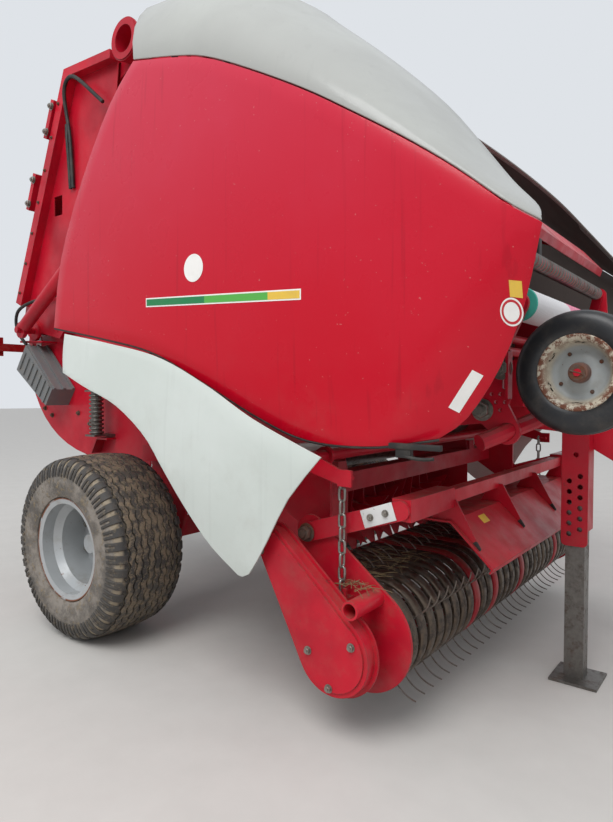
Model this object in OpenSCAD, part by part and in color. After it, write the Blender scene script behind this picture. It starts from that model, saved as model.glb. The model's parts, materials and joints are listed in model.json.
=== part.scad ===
// Towed round baler with a tailgate, gull-wing covers and a tined pickup.
// Lengths are in millimetres. X points forward, Y to the left and Z up from the ground.
// Every module is drawn from the point on the ground below the wheel axle.

/* [Overall] */
// Hitch eye in front of the axle
hitch_x = 2960; // [2700:10:3200]
// Rear face of the lamps behind the axle
tail_x = 1430; // [1400:5:1500]
// Clear width between the chamber sides
chamber_w = 1230; // [1200:5:1260]
// Thickness of the chamber side sheet
side_t = 6; // [4:1:8]
// Gap between pieces that move past each other
play = 8; // [6:1:12]
// Clearance round pins and shafts
pin_gap = 0.3; // [0.2:0.1:0.6]

/* [Wheels] */
// Outer diameter of the main tyre
tyre_d = 851; // [820:1:870]
// Width of the main tyre
tyre_w = 391; // [370:1:400]
// Outer width over both tyres
track_w = 2400; // [2390:1:2440]
// Diameter of the tyre's seat on the main rim
rim_d = 432; // [420:1:440]
// Width between the flanges of the main rim
rim_w = 330; // [300:1:340]
// Diameter of the wheel spindle
spindle_d = 60; // [50:1:70]
// Side of the square axle tube
axle_sq = 110; // [90:1:120]
// Outer diameter of the gauge wheel
gauge_d = 400; // [360:1:410]
// Width of the gauge wheel
gauge_w = 100; // [80:1:110]

/* [Tailgate] */
// Hinge of the tailgate, forward of the axle
gate_x = -90; // [-110:1:-70]
// Hinge of the tailgate above the ground
gate_z = 2950; // [2930:1:2970]
// Diameter of the tailgate's hinge pin
gate_pin = 50; // [40:1:60]
// Centre plane of the tailgate cylinders from the middle
ram_y = 800; // [780:1:820]
// Diameter of the cylinder barrel
barrel_d = 76; // [70:1:80]
// Diameter of the cylinder rod
rod_d = 35; // [30:1:40]

/* [Pickup] */
// Pickup pivot forward of the axle
pivot_x = 1290; // [1280:1:1300]
// Pickup pivot above the ground
pivot_z = 660; // [650:1:670]
// Reel axis forward of the axle
reel_x = 1505; // [1495:1:1515]
// Reel axis above the ground
reel_z = 335; // [330:1:345]
// Half of the pickup's width between its side plates
pickup_y = 1000; // [980:1:1010]
// Radius of the curved stripper bands
band_r = 175; // [168:1:180]
// Spacing of the tines along the reel
tine_pitch = 66; // [62:1:70]
// Width of one stripper band
band_w = 46; // [40:1:48]
// Radius that the tine tips reach
tine_r = 262; // [240:1:270]
// Thickness of a tine
tine_d = 6; // [5:0.5:7]

/* [Covers] */
// Outer face of the side covers from the middle
cover_y = 1150; // [1140:1:1160]
// Thickness of the cover's moulding
cover_t = 8; // [6:1:10]
// Hinge axis of the covers outside the clear width
cover_hinge_out = 25; // [20:1:35]
// Hinge axis of the covers above the ground
cover_hinge_z = 2895; // [2885:1:2905]
// Outer face of the fenders from the middle
fender_y = 1190; // [1180:1:1200]

/* [Hidden] */
$fn = 48;
tyre_r = tyre_d / 2;
axle_z = tyre_r;
wheel_y = track_w / 2 - tyre_w / 2;
eye_d = 50;
eye_od = 110;
eye_neck = eye_od / 2 + 5;
hitch_z = 560;
side_in = chamber_w / 2;
side_out = side_in + side_t;
cover_hinge_y = side_in + cover_hinge_out;
centre_shift = (tail_x - hitch_x - eye_od / 2) / 2;

// Hinge tube of the covers: its posts, its rings and the rows of the cover that carry ribs
hinge_tube_d = 30;
HINGE_POSTS = [340, 690];
HINGE_RINGS = [388, 592];
RIB_ROWS = [2, 5];

// Small helpers

function mix(a, b, t) = a + (b - a) * t;
function row_at(rows, i) = rows[max(0, min(len(rows) - 1, i))];

// Point on a smooth curve through all rows of a table, t from 0 to 1
function along(rows, t) =
    let (s = min(t * (len(rows) - 1), len(rows) - 1.0001), i = floor(s), f = s - i,
         a = row_at(rows, i - 1), b = row_at(rows, i), c = row_at(rows, i + 1), d = row_at(rows, i + 2))
    0.5 * (2 * b + (c - a) * f + (2 * a - 5 * b + 4 * c - d) * f * f + (3 * b - a - 3 * c + d) * f * f * f);

module right() mirror([0, 1, 0]) children();

module both_sides() {
    children();
    mirror([0, 1, 0]) children();
}

// Extrudes an outline drawn in X and Z from y to y + t
module sheet(y, t) translate([0, y + t, 0]) rotate([90, 0, 0]) linear_extrude(t) children();

// Round bar between two points
module round_bar(a, b, d) {
    v = b - a;
    l = norm(v);
    translate(a) rotate([0, acos(v.z / l), atan2(v.y, v.x)]) cylinder(h = l, d = d);
}

// Shaft along Y from y1 to y2
module shaft(x, z, d, y1, y2) translate([x, y2, z]) rotate([90, 0, 0]) cylinder(h = y2 - y1, d = d);

// Straight box beam between two points of one plane y, h high and w wide
module beam(a, b, w, h) {
    l = norm(b - a);
    translate(a) rotate([0, -atan2(b.z - a.z, b.x - a.x), 0]) translate([0, -w / 2, -h / 2]) cube([l, w, h]);
}

// Outline of a link with round ends of radius ra and rb
module link(a, ra, b, rb) {
    l = norm(b - a);
    dir = atan2(b.y - a.y, b.x - a.x);
    lean = acos((ra - rb) / l);
    function rim(c, r, s) = c + r * [cos(dir + s * lean), sin(dir + s * lean)];
    translate(a) circle(ra);
    translate(b) circle(rb);
    polygon([rim(a, ra, 1), rim(a, ra, -1), rim(b, rb, -1), rim(b, rb, 1)]);
}

// Square bar between two points
module square_bar(a, b, side) {
    v = b - a;
    l = norm(v);
    translate(a) rotate([0, acos(v.z / l), atan2(v.y, v.x)]) translate([-side / 2, -side / 2, 0]) cube([side, side, l]);
}

// Straight stretches between the rows of a table, each corner rounded over a distance of r
function bend(a, b, c, r) = let (p = b + r * (a - b) / norm(a - b), q = b + r * (c - b) / norm(c - b))
    [for (t = [0:0.25:1]) (1 - t) * (1 - t) * p + 2 * t * (1 - t) * b + t * t * q];
function rounded(rows, r) = concat([rows[0]],
    [for (i = [1:len(rows) - 2]) each bend(rows[i - 1], rows[i], rows[i + 1], r)], [rows[len(rows) - 1]]);

// Round tube of a few flat sides swept along points; ref is a direction that no stretch runs along
module swept(points, d, ref, sides = 8) {
    n = len(points) - 1;
    rings = [for (i = [0:n]) let (t = points[min(n, i + 1)] - points[max(0, i - 1)],
        s = cross(t, ref), a = s / norm(s), u = cross(a, t), b = u / norm(u)) for (k = [0:sides - 1])
        points[i] + d / 2 * (cos(360 * k / sides) * a + sin(360 * k / sides) * b)];
    walls = [for (i = [0:n - 1]) for (k = [0:sides - 1]) let (l = (k + 1) % sides)
        [i * sides + k, i * sides + l, (i + 1) * sides + l, (i + 1) * sides + k]];
    split = [for (q = walls) each [[q[0], q[1], q[2]], [q[0], q[2], q[3]]]];
    ends = [for (k = [1:sides - 2]) each [[0, k + 1, k], [n * sides, n * sides + k, n * sides + k + 1]]];
    polyhedron(rings, concat(split, ends));
}

// Closed shell from a grid of points on its outer face
function shell_normal(g, i, j) =
    let (m = len(g) - 1, n = len(g[0]) - 1,
         u = g[min(m, i + 1)][j] - g[max(0, i - 1)][j],
         v = g[i][min(n, j + 1)] - g[i][max(0, j - 1)], c = cross(v, u))
    c / norm(c);

module shell(g, t) {
    m = len(g) - 1;
    n = len(g[0]) - 1;
    k = (m + 1) * (n + 1);
    outer = [for (i = [0:m]) for (j = [0:n]) g[i][j]];
    inner = [for (i = [0:m]) for (j = [0:n]) g[i][j] - t * shell_normal(g, i, j)];
    function at(i, j) = i * (n + 1) + j;
    quads = concat(
        [for (i = [0:m - 1]) for (j = [0:n - 1]) [at(i, j), at(i, j + 1), at(i + 1, j + 1), at(i + 1, j)]],
        [for (i = [0:m - 1]) for (j = [0:n - 1])
            [k + at(i, j), k + at(i + 1, j), k + at(i + 1, j + 1), k + at(i, j + 1)]],
        [for (i = [0:m - 1]) [at(i, 0), at(i + 1, 0), k + at(i + 1, 0), k + at(i, 0)]],
        [for (i = [0:m - 1]) [at(i + 1, n), at(i, n), k + at(i, n), k + at(i + 1, n)]],
        [for (j = [0:n - 1]) [at(0, j + 1), at(0, j), k + at(0, j), k + at(0, j + 1)]],
        [for (j = [0:n - 1]) [at(m, j), at(m, j + 1), k + at(m, j + 1), k + at(m, j)]]);
    faces = [for (q = quads) each [[q[0], q[2], q[1]], [q[0], q[3], q[2]]]];
    polyhedron(concat(outer, inner), faces);
}

// Grid of points between four edge curves, rows from rear to front and columns from low to top
function patch(low, top, rear, front, m, n) =
    [for (i = [0:m]) let (u = i / m) [for (j = [0:n]) let (v = j / n)
        mix(along(low, u), along(top, u), v) + mix(along(rear, v), along(front, v), u)
        - mix(mix(low[0], low[len(low) - 1], u), mix(top[0], top[len(top) - 1], u), v)]];

// Wheels

// Tyre about the Y axis: rounded carcass with grooves between its ribs
module tyre(d, w, seat, seat_w, ribs, groove) {
    r = d / 2;
    wall = w / 2;
    crown = 0.36 * w;
    rotate([90, 0, 0]) difference() {
        rotate_extrude($fn = 96) difference() {
            union() {
                polygon([[seat / 2, -seat_w / 2], [seat / 2 + 24, -seat_w / 2], [seat / 2 + 26, -seat_w / 2 - 16], [mix(seat / 2, r, 0.45), -wall],
                    [mix(seat / 2, r, 0.7), -wall], [r - 0.06 * w, -crown - 0.09 * w], [r - 0.02 * w, -crown],
                    [r, -crown * 0.6], [r, crown * 0.6], [r - 0.02 * w, crown], [r - 0.06 * w, crown + 0.09 * w],
                    [mix(seat / 2, r, 0.7), wall], [mix(seat / 2, r, 0.45), wall],
                    [seat / 2 + 26, seat_w / 2 + 16], [seat / 2 + 24, seat_w / 2], [seat / 2, seat_w / 2]]);
            }
            for (i = [1:ribs - 1]) let (y = mix(-crown, crown, i / ribs))
                translate([r - groove, y - 6]) square([groove + 1, 12]);
        }
    }
}

// Rim about the Y axis: stepped barrel, flanges, disc with bolt holes, hub with its bore
module rim(hub_bore) {
    seat = rim_d / 2;
    flange = seat + 22;
    half = rim_w / 2;
    wall = 6;
    disc_t = 12;
    rotate([90, 0, 0]) difference() {
        rotate_extrude($fn = 96) {
            polygon([[seat, -half], [flange, -half - 8], [flange, -half - 12], [seat - wall, -half - 6],
                [seat - wall, -half + 50], [seat - 34, -half + 80], [seat - 34, half - 80],
                [seat - wall, half - 50], [seat - wall, half + 6], [flange, half + 12], [flange, half + 8],
                [seat, half], [seat, half - 54], [seat - 28, half - 84], [seat - 28, -half + 84], [seat, -half + 54]]);
            polygon([[0, -52], [seat - 30, -52], [seat - 30, -40], [140, -40], [126, -32], [104, -2], [80, 8], [0, 8]]);
            polygon([[0, -110], [66, -110], [66, -46], [0, -46]]);
            polygon([[0, 0], [52, 0], [52, 44], [44, 54], [0, 54]]);
        }
        translate([0, 0, -111]) cylinder(h = 111 + 40, d = hub_bore);
        for (a = [0:45:315]) rotate([0, 0, a + 22]) translate([160, 0, -53]) cylinder(h = 14, d = 20);
    }
}

module tyre_left() color("#26231f") translate([0, wheel_y, axle_z])
    tyre(tyre_d, tyre_w, rim_d, rim_w, 6, 14);
module tyre_right() color("#26231f") translate([0, -wheel_y, axle_z])
    tyre(tyre_d, tyre_w, rim_d, rim_w, 6, 14);
module rim_left() color("#b9babb") translate([0, wheel_y, axle_z]) mirror([0, 1, 0])
    rim(spindle_d + 2 * pin_gap);
module rim_right() color("#b9babb") translate([0, -wheel_y, axle_z]) rim(spindle_d + 2 * pin_gap);

// Chassis

// Pickup pivot ears stand on the cross beam in front of the chamber
cross_x = 1150;
cross_z = 780;
cross_sq = 80;
pin_d = 36;
ear_y = pickup_y - 60;
ear_t = 15;
lift_x = 1310;
lift_z = 925;

// Lift chain: its plane, its lowest link and the peg above it
chain_x = 1452;
chain_y = pickup_y + 52;
chain_z = 505;
chain_pitch = 44;
chain_links = 9;
link_eye = 14;
peg_d = 10;
peg_x = chain_x + 36;
peg_z = chain_z + (chain_links - 1) * chain_pitch + 12 + (link_eye - peg_d) / 2 - pin_gap;

module chassis() color("#b01c2c") {
    // axle tube with its spindles
    translate([-axle_sq / 2, -wheel_y + 110 + play, axle_z - axle_sq / 2])
        cube([axle_sq, 2 * (wheel_y - 110 - play), axle_sq]);
    both_sides() {
        shaft(0, axle_z, spindle_d, wheel_y - 112 - play, wheel_y + 30);
        // upright bracket between the axle tube and the chamber side
        sheet(side_out, 14) polygon([[-150, axle_z - 55], [150, axle_z - 55], [260, 700], [300, 940], [-60, 980], [-60, 760]]);
        // lower rail along the chamber side
        beam([-60, side_out + 44, 830], [1190, side_out + 44, 830], 60, 80);
        // ear of the pickup pivot with its pin
        difference() {
            sheet(ear_y, ear_t) union() {
                link([cross_x, cross_z], 70, [pivot_x, pivot_z], 45);
                link([cross_x, cross_z + 20], 60, [lift_x, lift_z], 34);
                polygon([[cross_x, cross_z + 60], [lift_x + 24, lift_z - 20], [pivot_x + 44, pivot_z], [cross_x, cross_z]]);
            }
            shaft(pivot_x, pivot_z, pin_d + 2 * pin_gap, ear_y - 1, ear_y + ear_t + 1);
        }
    }
    // arm with the peg that the lift chain hangs on
    both_sides() {
        sheet(chain_y + 22, 10) {
            link([lift_x, lift_z], 34, [peg_x - 20, peg_z + 2], 24);
            translate([peg_x - 34, peg_z - 26]) square([54, 56]);
        }
        shaft(peg_x, peg_z, 16, chain_y - 8, chain_y + 32);
        translate([peg_x - 50, chain_y, peg_z]) rotate([0, 90, 0]) cylinder(h = 50, d = peg_d);
    }
    shaft(lift_x, lift_z, 40, -chain_y - 34, chain_y + 34);
    // cross beam in front of the throat
    translate([cross_x - cross_sq / 2, -ear_y - ear_t, cross_z - cross_sq / 2])
        cube([cross_sq, 2 * (ear_y + ear_t), cross_sq]);
}

// Bale chamber

// Outline of the front half of the chamber side
function front_outline() = [[gate_x + play, 760], [500, 720], [860, 760], [1140, 880], [1480, 1000], [1760, 1060],
    [1776, 1330], [1700, 1450], [1560, 1560], [1510, 1700], [1500, 2090], each [for (i = [2:6]) TOP_LINE[i] + [8, 10]],
    [gate_x + 120, gate_z - 10], [gate_x + play + 30, gate_z - 90]];
// Line of the hood over the belts, from its front edge to the tailgate's hinge
TOP_LINE = [[1886, 1758], [1795, 1862], [1500, 2100], [1290, 2300], [1080, 2470], [850, 2630], [560, 2770], [80, gate_z - 62]];

module chamber_side() color("#b01c2c") {
    difference() {
        union() {
            sheet(side_in, side_t) {
                difference() {
                    union() {
                        polygon(front_outline());
                        link([rotor_x, rotor_z], 225, [rotor_x, 801], 225);
                    }
                    translate([cross_x - cross_sq / 2, cross_z - cross_sq / 2]) square(cross_sq);
                    translate([lift_x, lift_z]) circle(20 + pin_gap);
                }
            }
            // boss of the tailgate hinge
            sheet(side_in, 30) link([gate_x, gate_z], 70, [gate_x + 280, gate_z - 130], 60);
            // posts that carry the cover's hinge tube
            for (x = HINGE_POSTS) translate([x, side_in, 2650]) cube([30, side_t + 34, cover_hinge_z - 2650]);
            // inner lug at the rod end of the tailgate cylinder
            sheet(side_in, ram_y - 38 - play - side_in) translate(ram_frame) circle(45);
        }
        shaft(gate_x, gate_z, gate_pin + 2 * pin_gap, side_in - 1, side_in + 31);
        shaft(rotor_x, rotor_z, rotor_shaft_d + 2 * pin_gap, side_in - 1, side_out + 1);
    }
    translate([HINGE_POSTS[0], cover_hinge_y, cover_hinge_z]) rotate([0, 90, 0])
        cylinder(h = HINGE_POSTS[1] + 30 - HINGE_POSTS[0], d = hinge_tube_d);
}

module chamber_side_left() chamber_side();
module chamber_side_right() right() chamber_side();

// Belt of thickness belt_t round a loop of rollers, given as x, z, diameter
belt_t = 7;
belt_count = 5;
belt_pitch = 235;
module belt_outline(rollers, extra) {
    polygon([for (r = rollers) [r[0], r[1]]]);
    for (i = [0:len(rollers) - 1]) let (a = rollers[i], b = rollers[(i + 1) % len(rollers)])
        link([a[0], a[1]], a[2] / 2 + extra, [b[0], b[1]], b[2] / 2 + extra);
}
module belts(rollers) for (i = [0:belt_count - 1])
    sheet((i - belt_count / 2) * belt_pitch + 12, belt_pitch - 24) difference() {
        belt_outline(rollers, pin_gap + belt_t);
        belt_outline(rollers, pin_gap);
    }

// Rollers of the front half inside the belts, and the bare rollers below, as x, z, diameter
FRONT_ROLLERS = [[330, 2640, 90], [1020, 2420, 90], [1450, 1900, 90], [1400, 1230, 90]];
FLOOR_ROLLERS = [[1110, 1010, 190], [760, 850, 190], [280, 820, 150]];

module front_rollers() color("#7c7a78")
    for (r = concat(FRONT_ROLLERS, FLOOR_ROLLERS)) shaft(r[0], r[1], r[2], -side_in, side_in);

module front_belts() color("#2c2a29") belts(FRONT_ROLLERS);

// Front frame: plates on the chamber sides, cross tubes, net spindle and valve block
arm_a = [1790, 720, 980];
arm_b = [1930, 520, 1060];
arm_d = 60;
arm_u = (arm_a.y - side_out - 8) / (arm_a.y - arm_b.y);

module front_frame() color("#b01c2c") {
    both_sides() difference() {
        union() {
            sheet(side_out, 16) {
                polygon([[1500, 1010], [1830, 1050], [1866, 1130], [1866, 1290], [1840, 1330], [1760, 1420], [1600, 1300]]);
                link([1800, 1300], 50, [net_x, net_z], 38);
                link([net_x, net_z], 30, [1868, 1635], 34);
                link([1800, 1090], 60, [mix(arm_a.x, arm_b.x, arm_u), mix(arm_a.z, arm_b.z, arm_u)], 46);
            }
        }
        for (i = [0:6]) let (a = 60 * i, r = i == 6 ? 0 : 32) shaft(1815 + r * cos(a), 1118 + r * sin(a), 13, side_out - 1, side_out + 17);
        // slot of the belt guide
        sheet(side_out - 1, 18) hull() for (z = [1170, 1215]) translate([1845, z]) circle(7);
        round_bar(arm_a, arm_b, arm_d + 2 * pin_gap);
    }
    shaft(1800, 1350, 33, -side_out - 16, side_out + 16);
    shaft(1815, 1300, 33, -side_out - 16, side_out + 16);
    shaft(net_x, net_z, net_pin, -side_out - 16, side_out + 16);
    // folded front flanges of the plates
    both_sides() sheet(side_out + 16, 26) polygon([[1856, 1140], [1866, 1130], [1866, 1290], [1856, 1296]]);
    // spreader tube of the net with its coil, and the post from it to the hood's rim
    shaft(1868, 1635, 44, -side_out - 40, side_out + 40);
    for (i = [0:30]) translate([1868, -540 + 36 * i, 1635]) rotate([90, 0, 0]) rotate_extrude($fn = 24)
        translate([21.5, 0]) square([7, 14]);
    translate([1864, -372, 1640]) cube([8, 24, 84]);
    sheet(606, 8) link([1868, 1635], 22, [1790, 1330], 22);
}

module front_hood() color("#b01c2c") {
    sheet(-side_in, 2 * side_in) polygon(concat(TOP_LINE,
        [for (i = [len(TOP_LINE) - 1:-1:0]) TOP_LINE[i] - [4, 7]]));
    // folded rim along the hood's front edge
    sheet(-side_in, 2 * side_in) polygon([[1886, 1758], [1880, 1758], [1868, 1728], [1874, 1726]]);
    // brackets under its overhang
    for (y = [-side_in, side_in - 8]) sheet(y, 8) polygon([[1440, 2146], [1500, 2096], [1791, 1859], [1780, 1850], [1470, 1980], [1440, 2060]]);
}

net_x = 1885;
net_z = 1455;
net_d = 115;
net_pin = 30;

module net_roll() color("#e8e6e2") difference() {
    shaft(net_x, net_z, net_d, -600, 600);
    shaft(net_x, net_z, net_pin + 2 * pin_gap, -601, 601);
}

rotor_x = 960;
rotor_z = 560;
rotor_shaft_d = 50;

module feed_rotor() color("#8a2a2a") {
    shaft(rotor_x, rotor_z, 140, -side_in + play, side_in - play);
    shaft(rotor_x, rotor_z, rotor_shaft_d, -side_out - 20, side_out + 20);
    for (i = [0:17]) let (y = -560 + i * 64, a = i * 40) translate([rotor_x, y, rotor_z]) rotate([0, a, 0])
        translate([0, 4, 0]) rotate([90, 0, 0]) linear_extrude(8)
            polygon([for (k = [0:7]) let (r = k % 2 == 0 ? 190 : 75) [r * cos(k * 45), r * sin(k * 45)]]);
}

module gearbox() color("#b01c2c") {
    translate([1580, -120, bar_top]) cube([160, 240, 200]);
    translate([1740, 0, bar_top + 100]) rotate([0, 90, 0]) cylinder(h = 60, d = 110);
    translate([1800, 0, bar_top + 100]) rotate([0, 90, 0]) cylinder(h = 90, d = pto_d);
}

// Drawbar
bar_w = 140;
bar_top = 1088;
pto_d = 34.9;
elbow_x = 2350;
function bar_line(x) = mix(1075, 860, (x - 2000) / 350);

module drawbar() color("#b01c2c") {
    difference() {
        sheet(-bar_w / 2, bar_w) polygon([[1500, 1020], [1900, 985], [elbow_x, 720], [hitch_x - 150, hitch_z - 50],
            [hitch_x - eye_neck, hitch_z - 50], [hitch_x - eye_neck, hitch_z + 50], [hitch_x - 150, hitch_z + 60], [elbow_x, bar_line(elbow_x)],
            [2000, bar_line(2000)], [1760, bar_top], [1500, bar_top]]);
        sheet(-bar_w / 2 + 8, bar_w - 16) polygon([[1490, 1030], [1900, 995], [elbow_x, 730], [hitch_x - 150, hitch_z - 42],
            [hitch_x - 150, hitch_z + 50], [elbow_x, bar_line(elbow_x) - 10], [2000, bar_line(2000) - 10], [1760, bar_top - 10],
            [1490, bar_top - 10]]);
    }
    // cross box between the plates of the front frame
    translate([1500, -side_in, 1020]) cube([60, 2 * side_in, bar_top - 1020]);
    // valve block of the hoses
    translate([1500, 340, bar_top]) cube([100, 120, 70]);
}

module hitch_eye() color("#6d6a66") translate([hitch_x, 0, hitch_z]) difference() {
    union() {
        translate([0, 0, -20]) cylinder(h = 40, d = eye_od);
        translate([-eye_neck, -45, -20]) cube([eye_neck, 90, 40]);
    }
    translate([0, 0, -21]) cylinder(h = 42, d = eye_d);
}

// Parking stand beside the drawbar
stand_x = 1965;
stand_y = -bar_w / 2 - 60;

// Holes of the stand in two staggered columns, as x from the middle and height
STAND_HOLES = [for (i = [0:5]) each [[-20, 590 + 42 * i], [20, 611 + 42 * i]]];
module stand_channel() color("#b01c2c") difference() {
    union() {
        translate([stand_x - 45, stand_y - 40, 600]) cube([90, 100, 390]);
        sheet(stand_y - 50, 10) {
            hull() for (x = [-30, 30]) translate([stand_x + x, 562]) circle(20);
            translate([stand_x - 50, 562]) square([100, 428]);
        }
    }
    translate([stand_x - 37, stand_y - 32, 540]) cube([74, 72, 451]);
    for (h = STAND_HOLES) shaft(stand_x + h.x, h.y, 20, stand_y - 51, stand_y - 31);
    shaft(stand_x + 4, 905, 20, stand_y - 51, stand_y - 31);
}

module stand_leg() color("#8b8a86") {
    translate([stand_x - 36.5, stand_y - 31.5, 10]) cube([73, 71, 700]);
    translate([stand_x - 80, stand_y - 90, 0]) cube([180, 180, 10]);
}

// Fender over each wheel

FENDER_LOW = [[-20, 1240], [170, 1170], [390, 1098], [584, 981], [705, 851], [820, 728], [960, 600], [1105, 512]];
FENDER_TOP = [[-42, 1421], [322, 1358], [651, 1289], [933, 1178], [1178, 1058], [1464, 949]];
FENDER_REAR = [[-20, 1240], [-36, 1330], [-42, 1421]];
FENDER_FRONT = [[1105, 512], [1157, 524], [1244, 658], [1331, 803], [1464, 949]];

function fender_out(p) = fender_y - 40 * pow(max(0, (p.y - 900) / 500), 2);
function fender_grid() = let (g = patch(FENDER_LOW, FENDER_TOP, FENDER_REAR, FENDER_FRONT, 24, 8))
    [for (row = g) [for (p = row) [p.x, fender_out(p), p.y]]];

// Square bars carry the fender on the chamber side, as x and height
FENDER_BARS = [[150, 1230], [1250, 955]];
module fender() color("#c5ccc4") {
    shell(fender_grid(), 6);
    for (b = FENDER_BARS) translate([b.x - 15, side_out, b.y - 15]) cube([30, fender_out(b) - 3 - side_out, 30]);
}
module fender_left() fender();
module fender_right() right() fender();

// Side covers

COVER_LOW = [[-127, 1453], [248, 1386], [588, 1313], [879, 1190], [1132, 1073], [1354, 996], [1600, 985], [1800, 1015]];
COVER_LINE = [[450, 2520], [723, 2445], [889, 2387], [1090, 2284], [1354, 2132], [1547, 2006], [1719, 1889],
    [1874, 1773], [2013, 1655], [2095, 1600]];
COVER_REAR = [[-127, 1453], [-59, 1762], [111, 2094], [300, 2380], [450, 2520]];
COVER_FRONT = [[1800, 1015], [1880, 1078], [1975, 1226], [2045, 1400], [2095, 1600]];
// Edge of the band, as x, height and distance outside the clear width
BAND_TOP = [[330, 2930, 105], [620, 2905, 65], [990, 2770, 50], [1210, 2590, 50], [1440, 2380, 55],
    [1645, 2170, 75], [1790, 1990, 125], [1930, 1810, 205], [2040, 1690, 315], [2085, 1625, 425]];

// Distance of the cover's panel from the middle. In front of a slanting bend line it turns inwards
function bend_ahead(p) = 0.871 * (p.x - 1720) - 0.491 * (p.y - 1040);
function cover_out(p) = let (d = bend_ahead(p)) cover_y - 30 * pow(max(0, p.y - 1800) / 700, 2)
    - 30 * pow(max(0, p.x - 1200) / 700, 2) - 20 * pow(max(0, 1500 - p.y) / 500, 2) - 0.29 * (d + sqrt(d * d + 1800));
seam = 6.5;
function raised(rows, z) = [for (r = rows) [r.x, r.y + z]];
function cover_grid(m, n) = let (g = patch(COVER_LOW, COVER_LINE, COVER_REAR, COVER_FRONT, m, n))
    [for (row = g) [for (p = row) [p.x, cover_out(p), p.y]]];
// The band leaves the panel upright and rounds over towards its edge
function band_grid(m, n) = [for (i = [0:m]) let (u = i / m, a = along(raised(COVER_LINE, seam), u), b = along(BAND_TOP, u),
    ya = cover_out(a)) [for (j = [0:n]) let (w = 90 * j / n)
        [mix(a.x, b.x, j / n), mix(ya, side_in + b.z, 1 - cos(w)), mix(a.y, b.y, sin(w))]]];

// Tube frame inside a cover: rows of the shell taken inwards, from the hinge down to the lower edge
frame_d = 26;
frame_gap = 2;
function inside(g, i, j) = g[i][j] - (cover_t + frame_gap + frame_d / 2) * shell_normal(g, i, j);
function rib(i) = concat([for (j = [5:-2:1]) inside(band_grid(18, 6), i, j)],
    [for (j = [7:-2:1]) inside(cover_grid(18, 8), i, j)]);

module cover_frame() color("#4a4442") {
    for (i = RIB_ROWS) swept(rib(i), frame_d, [1, 0, 0]);
    swept([rib(RIB_ROWS[0])[6], rib(RIB_ROWS[1])[6]], frame_d, [0, 0, 1]);
    for (k = [0, 1]) let (x = HINGE_RINGS[k], top = rib(RIB_ROWS[k])[0]) difference() {
        union() {
            translate([x, cover_hinge_y, cover_hinge_z]) rotate([0, 90, 0]) cylinder(h = 40, d = hinge_tube_d + 20);
            square_bar([x + 20, cover_hinge_y + 27, cover_hinge_z], top, 15);
        }
        translate([x - 1, cover_hinge_y, cover_hinge_z]) rotate([0, 90, 0])
            cylinder(h = 42, d = hinge_tube_d + 2 * pin_gap);
    }
}
module cover_frame_left() cover_frame();
module cover_frame_right() right() cover_frame();

module cover() color("#b5122b") shell(cover_grid(32, 12), cover_t);
module cover_band() color("#c8cbc2") shell(band_grid(32, 8), cover_t);
module cover_left() cover();
module cover_right() right() cover();
module cover_band_left() cover_band();
module cover_band_right() right() cover_band();

// Tailgate

// Lower edge of the tailgate's side, from the rear beam round to the front
GATE_LOW = [[-1270, 1716], [-1336, 1480], [-1300, 1210], [-1150, 985], [-900, 830], [-560, 756], [gate_x, 745]];
function gate_outline() = concat([[gate_x, gate_z - 80], [-250, gate_z + 15], [-690, gate_z + 45]],
    [for (i = [0:18]) along(GATE_LOW, i / 18)]);

// Bearing plates of the two rear rollers, as x, height and radius
GATE_EARS = [[-900, 2745, 98], [-1110, 2365, 94]];
gate_beam = 119;

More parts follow.
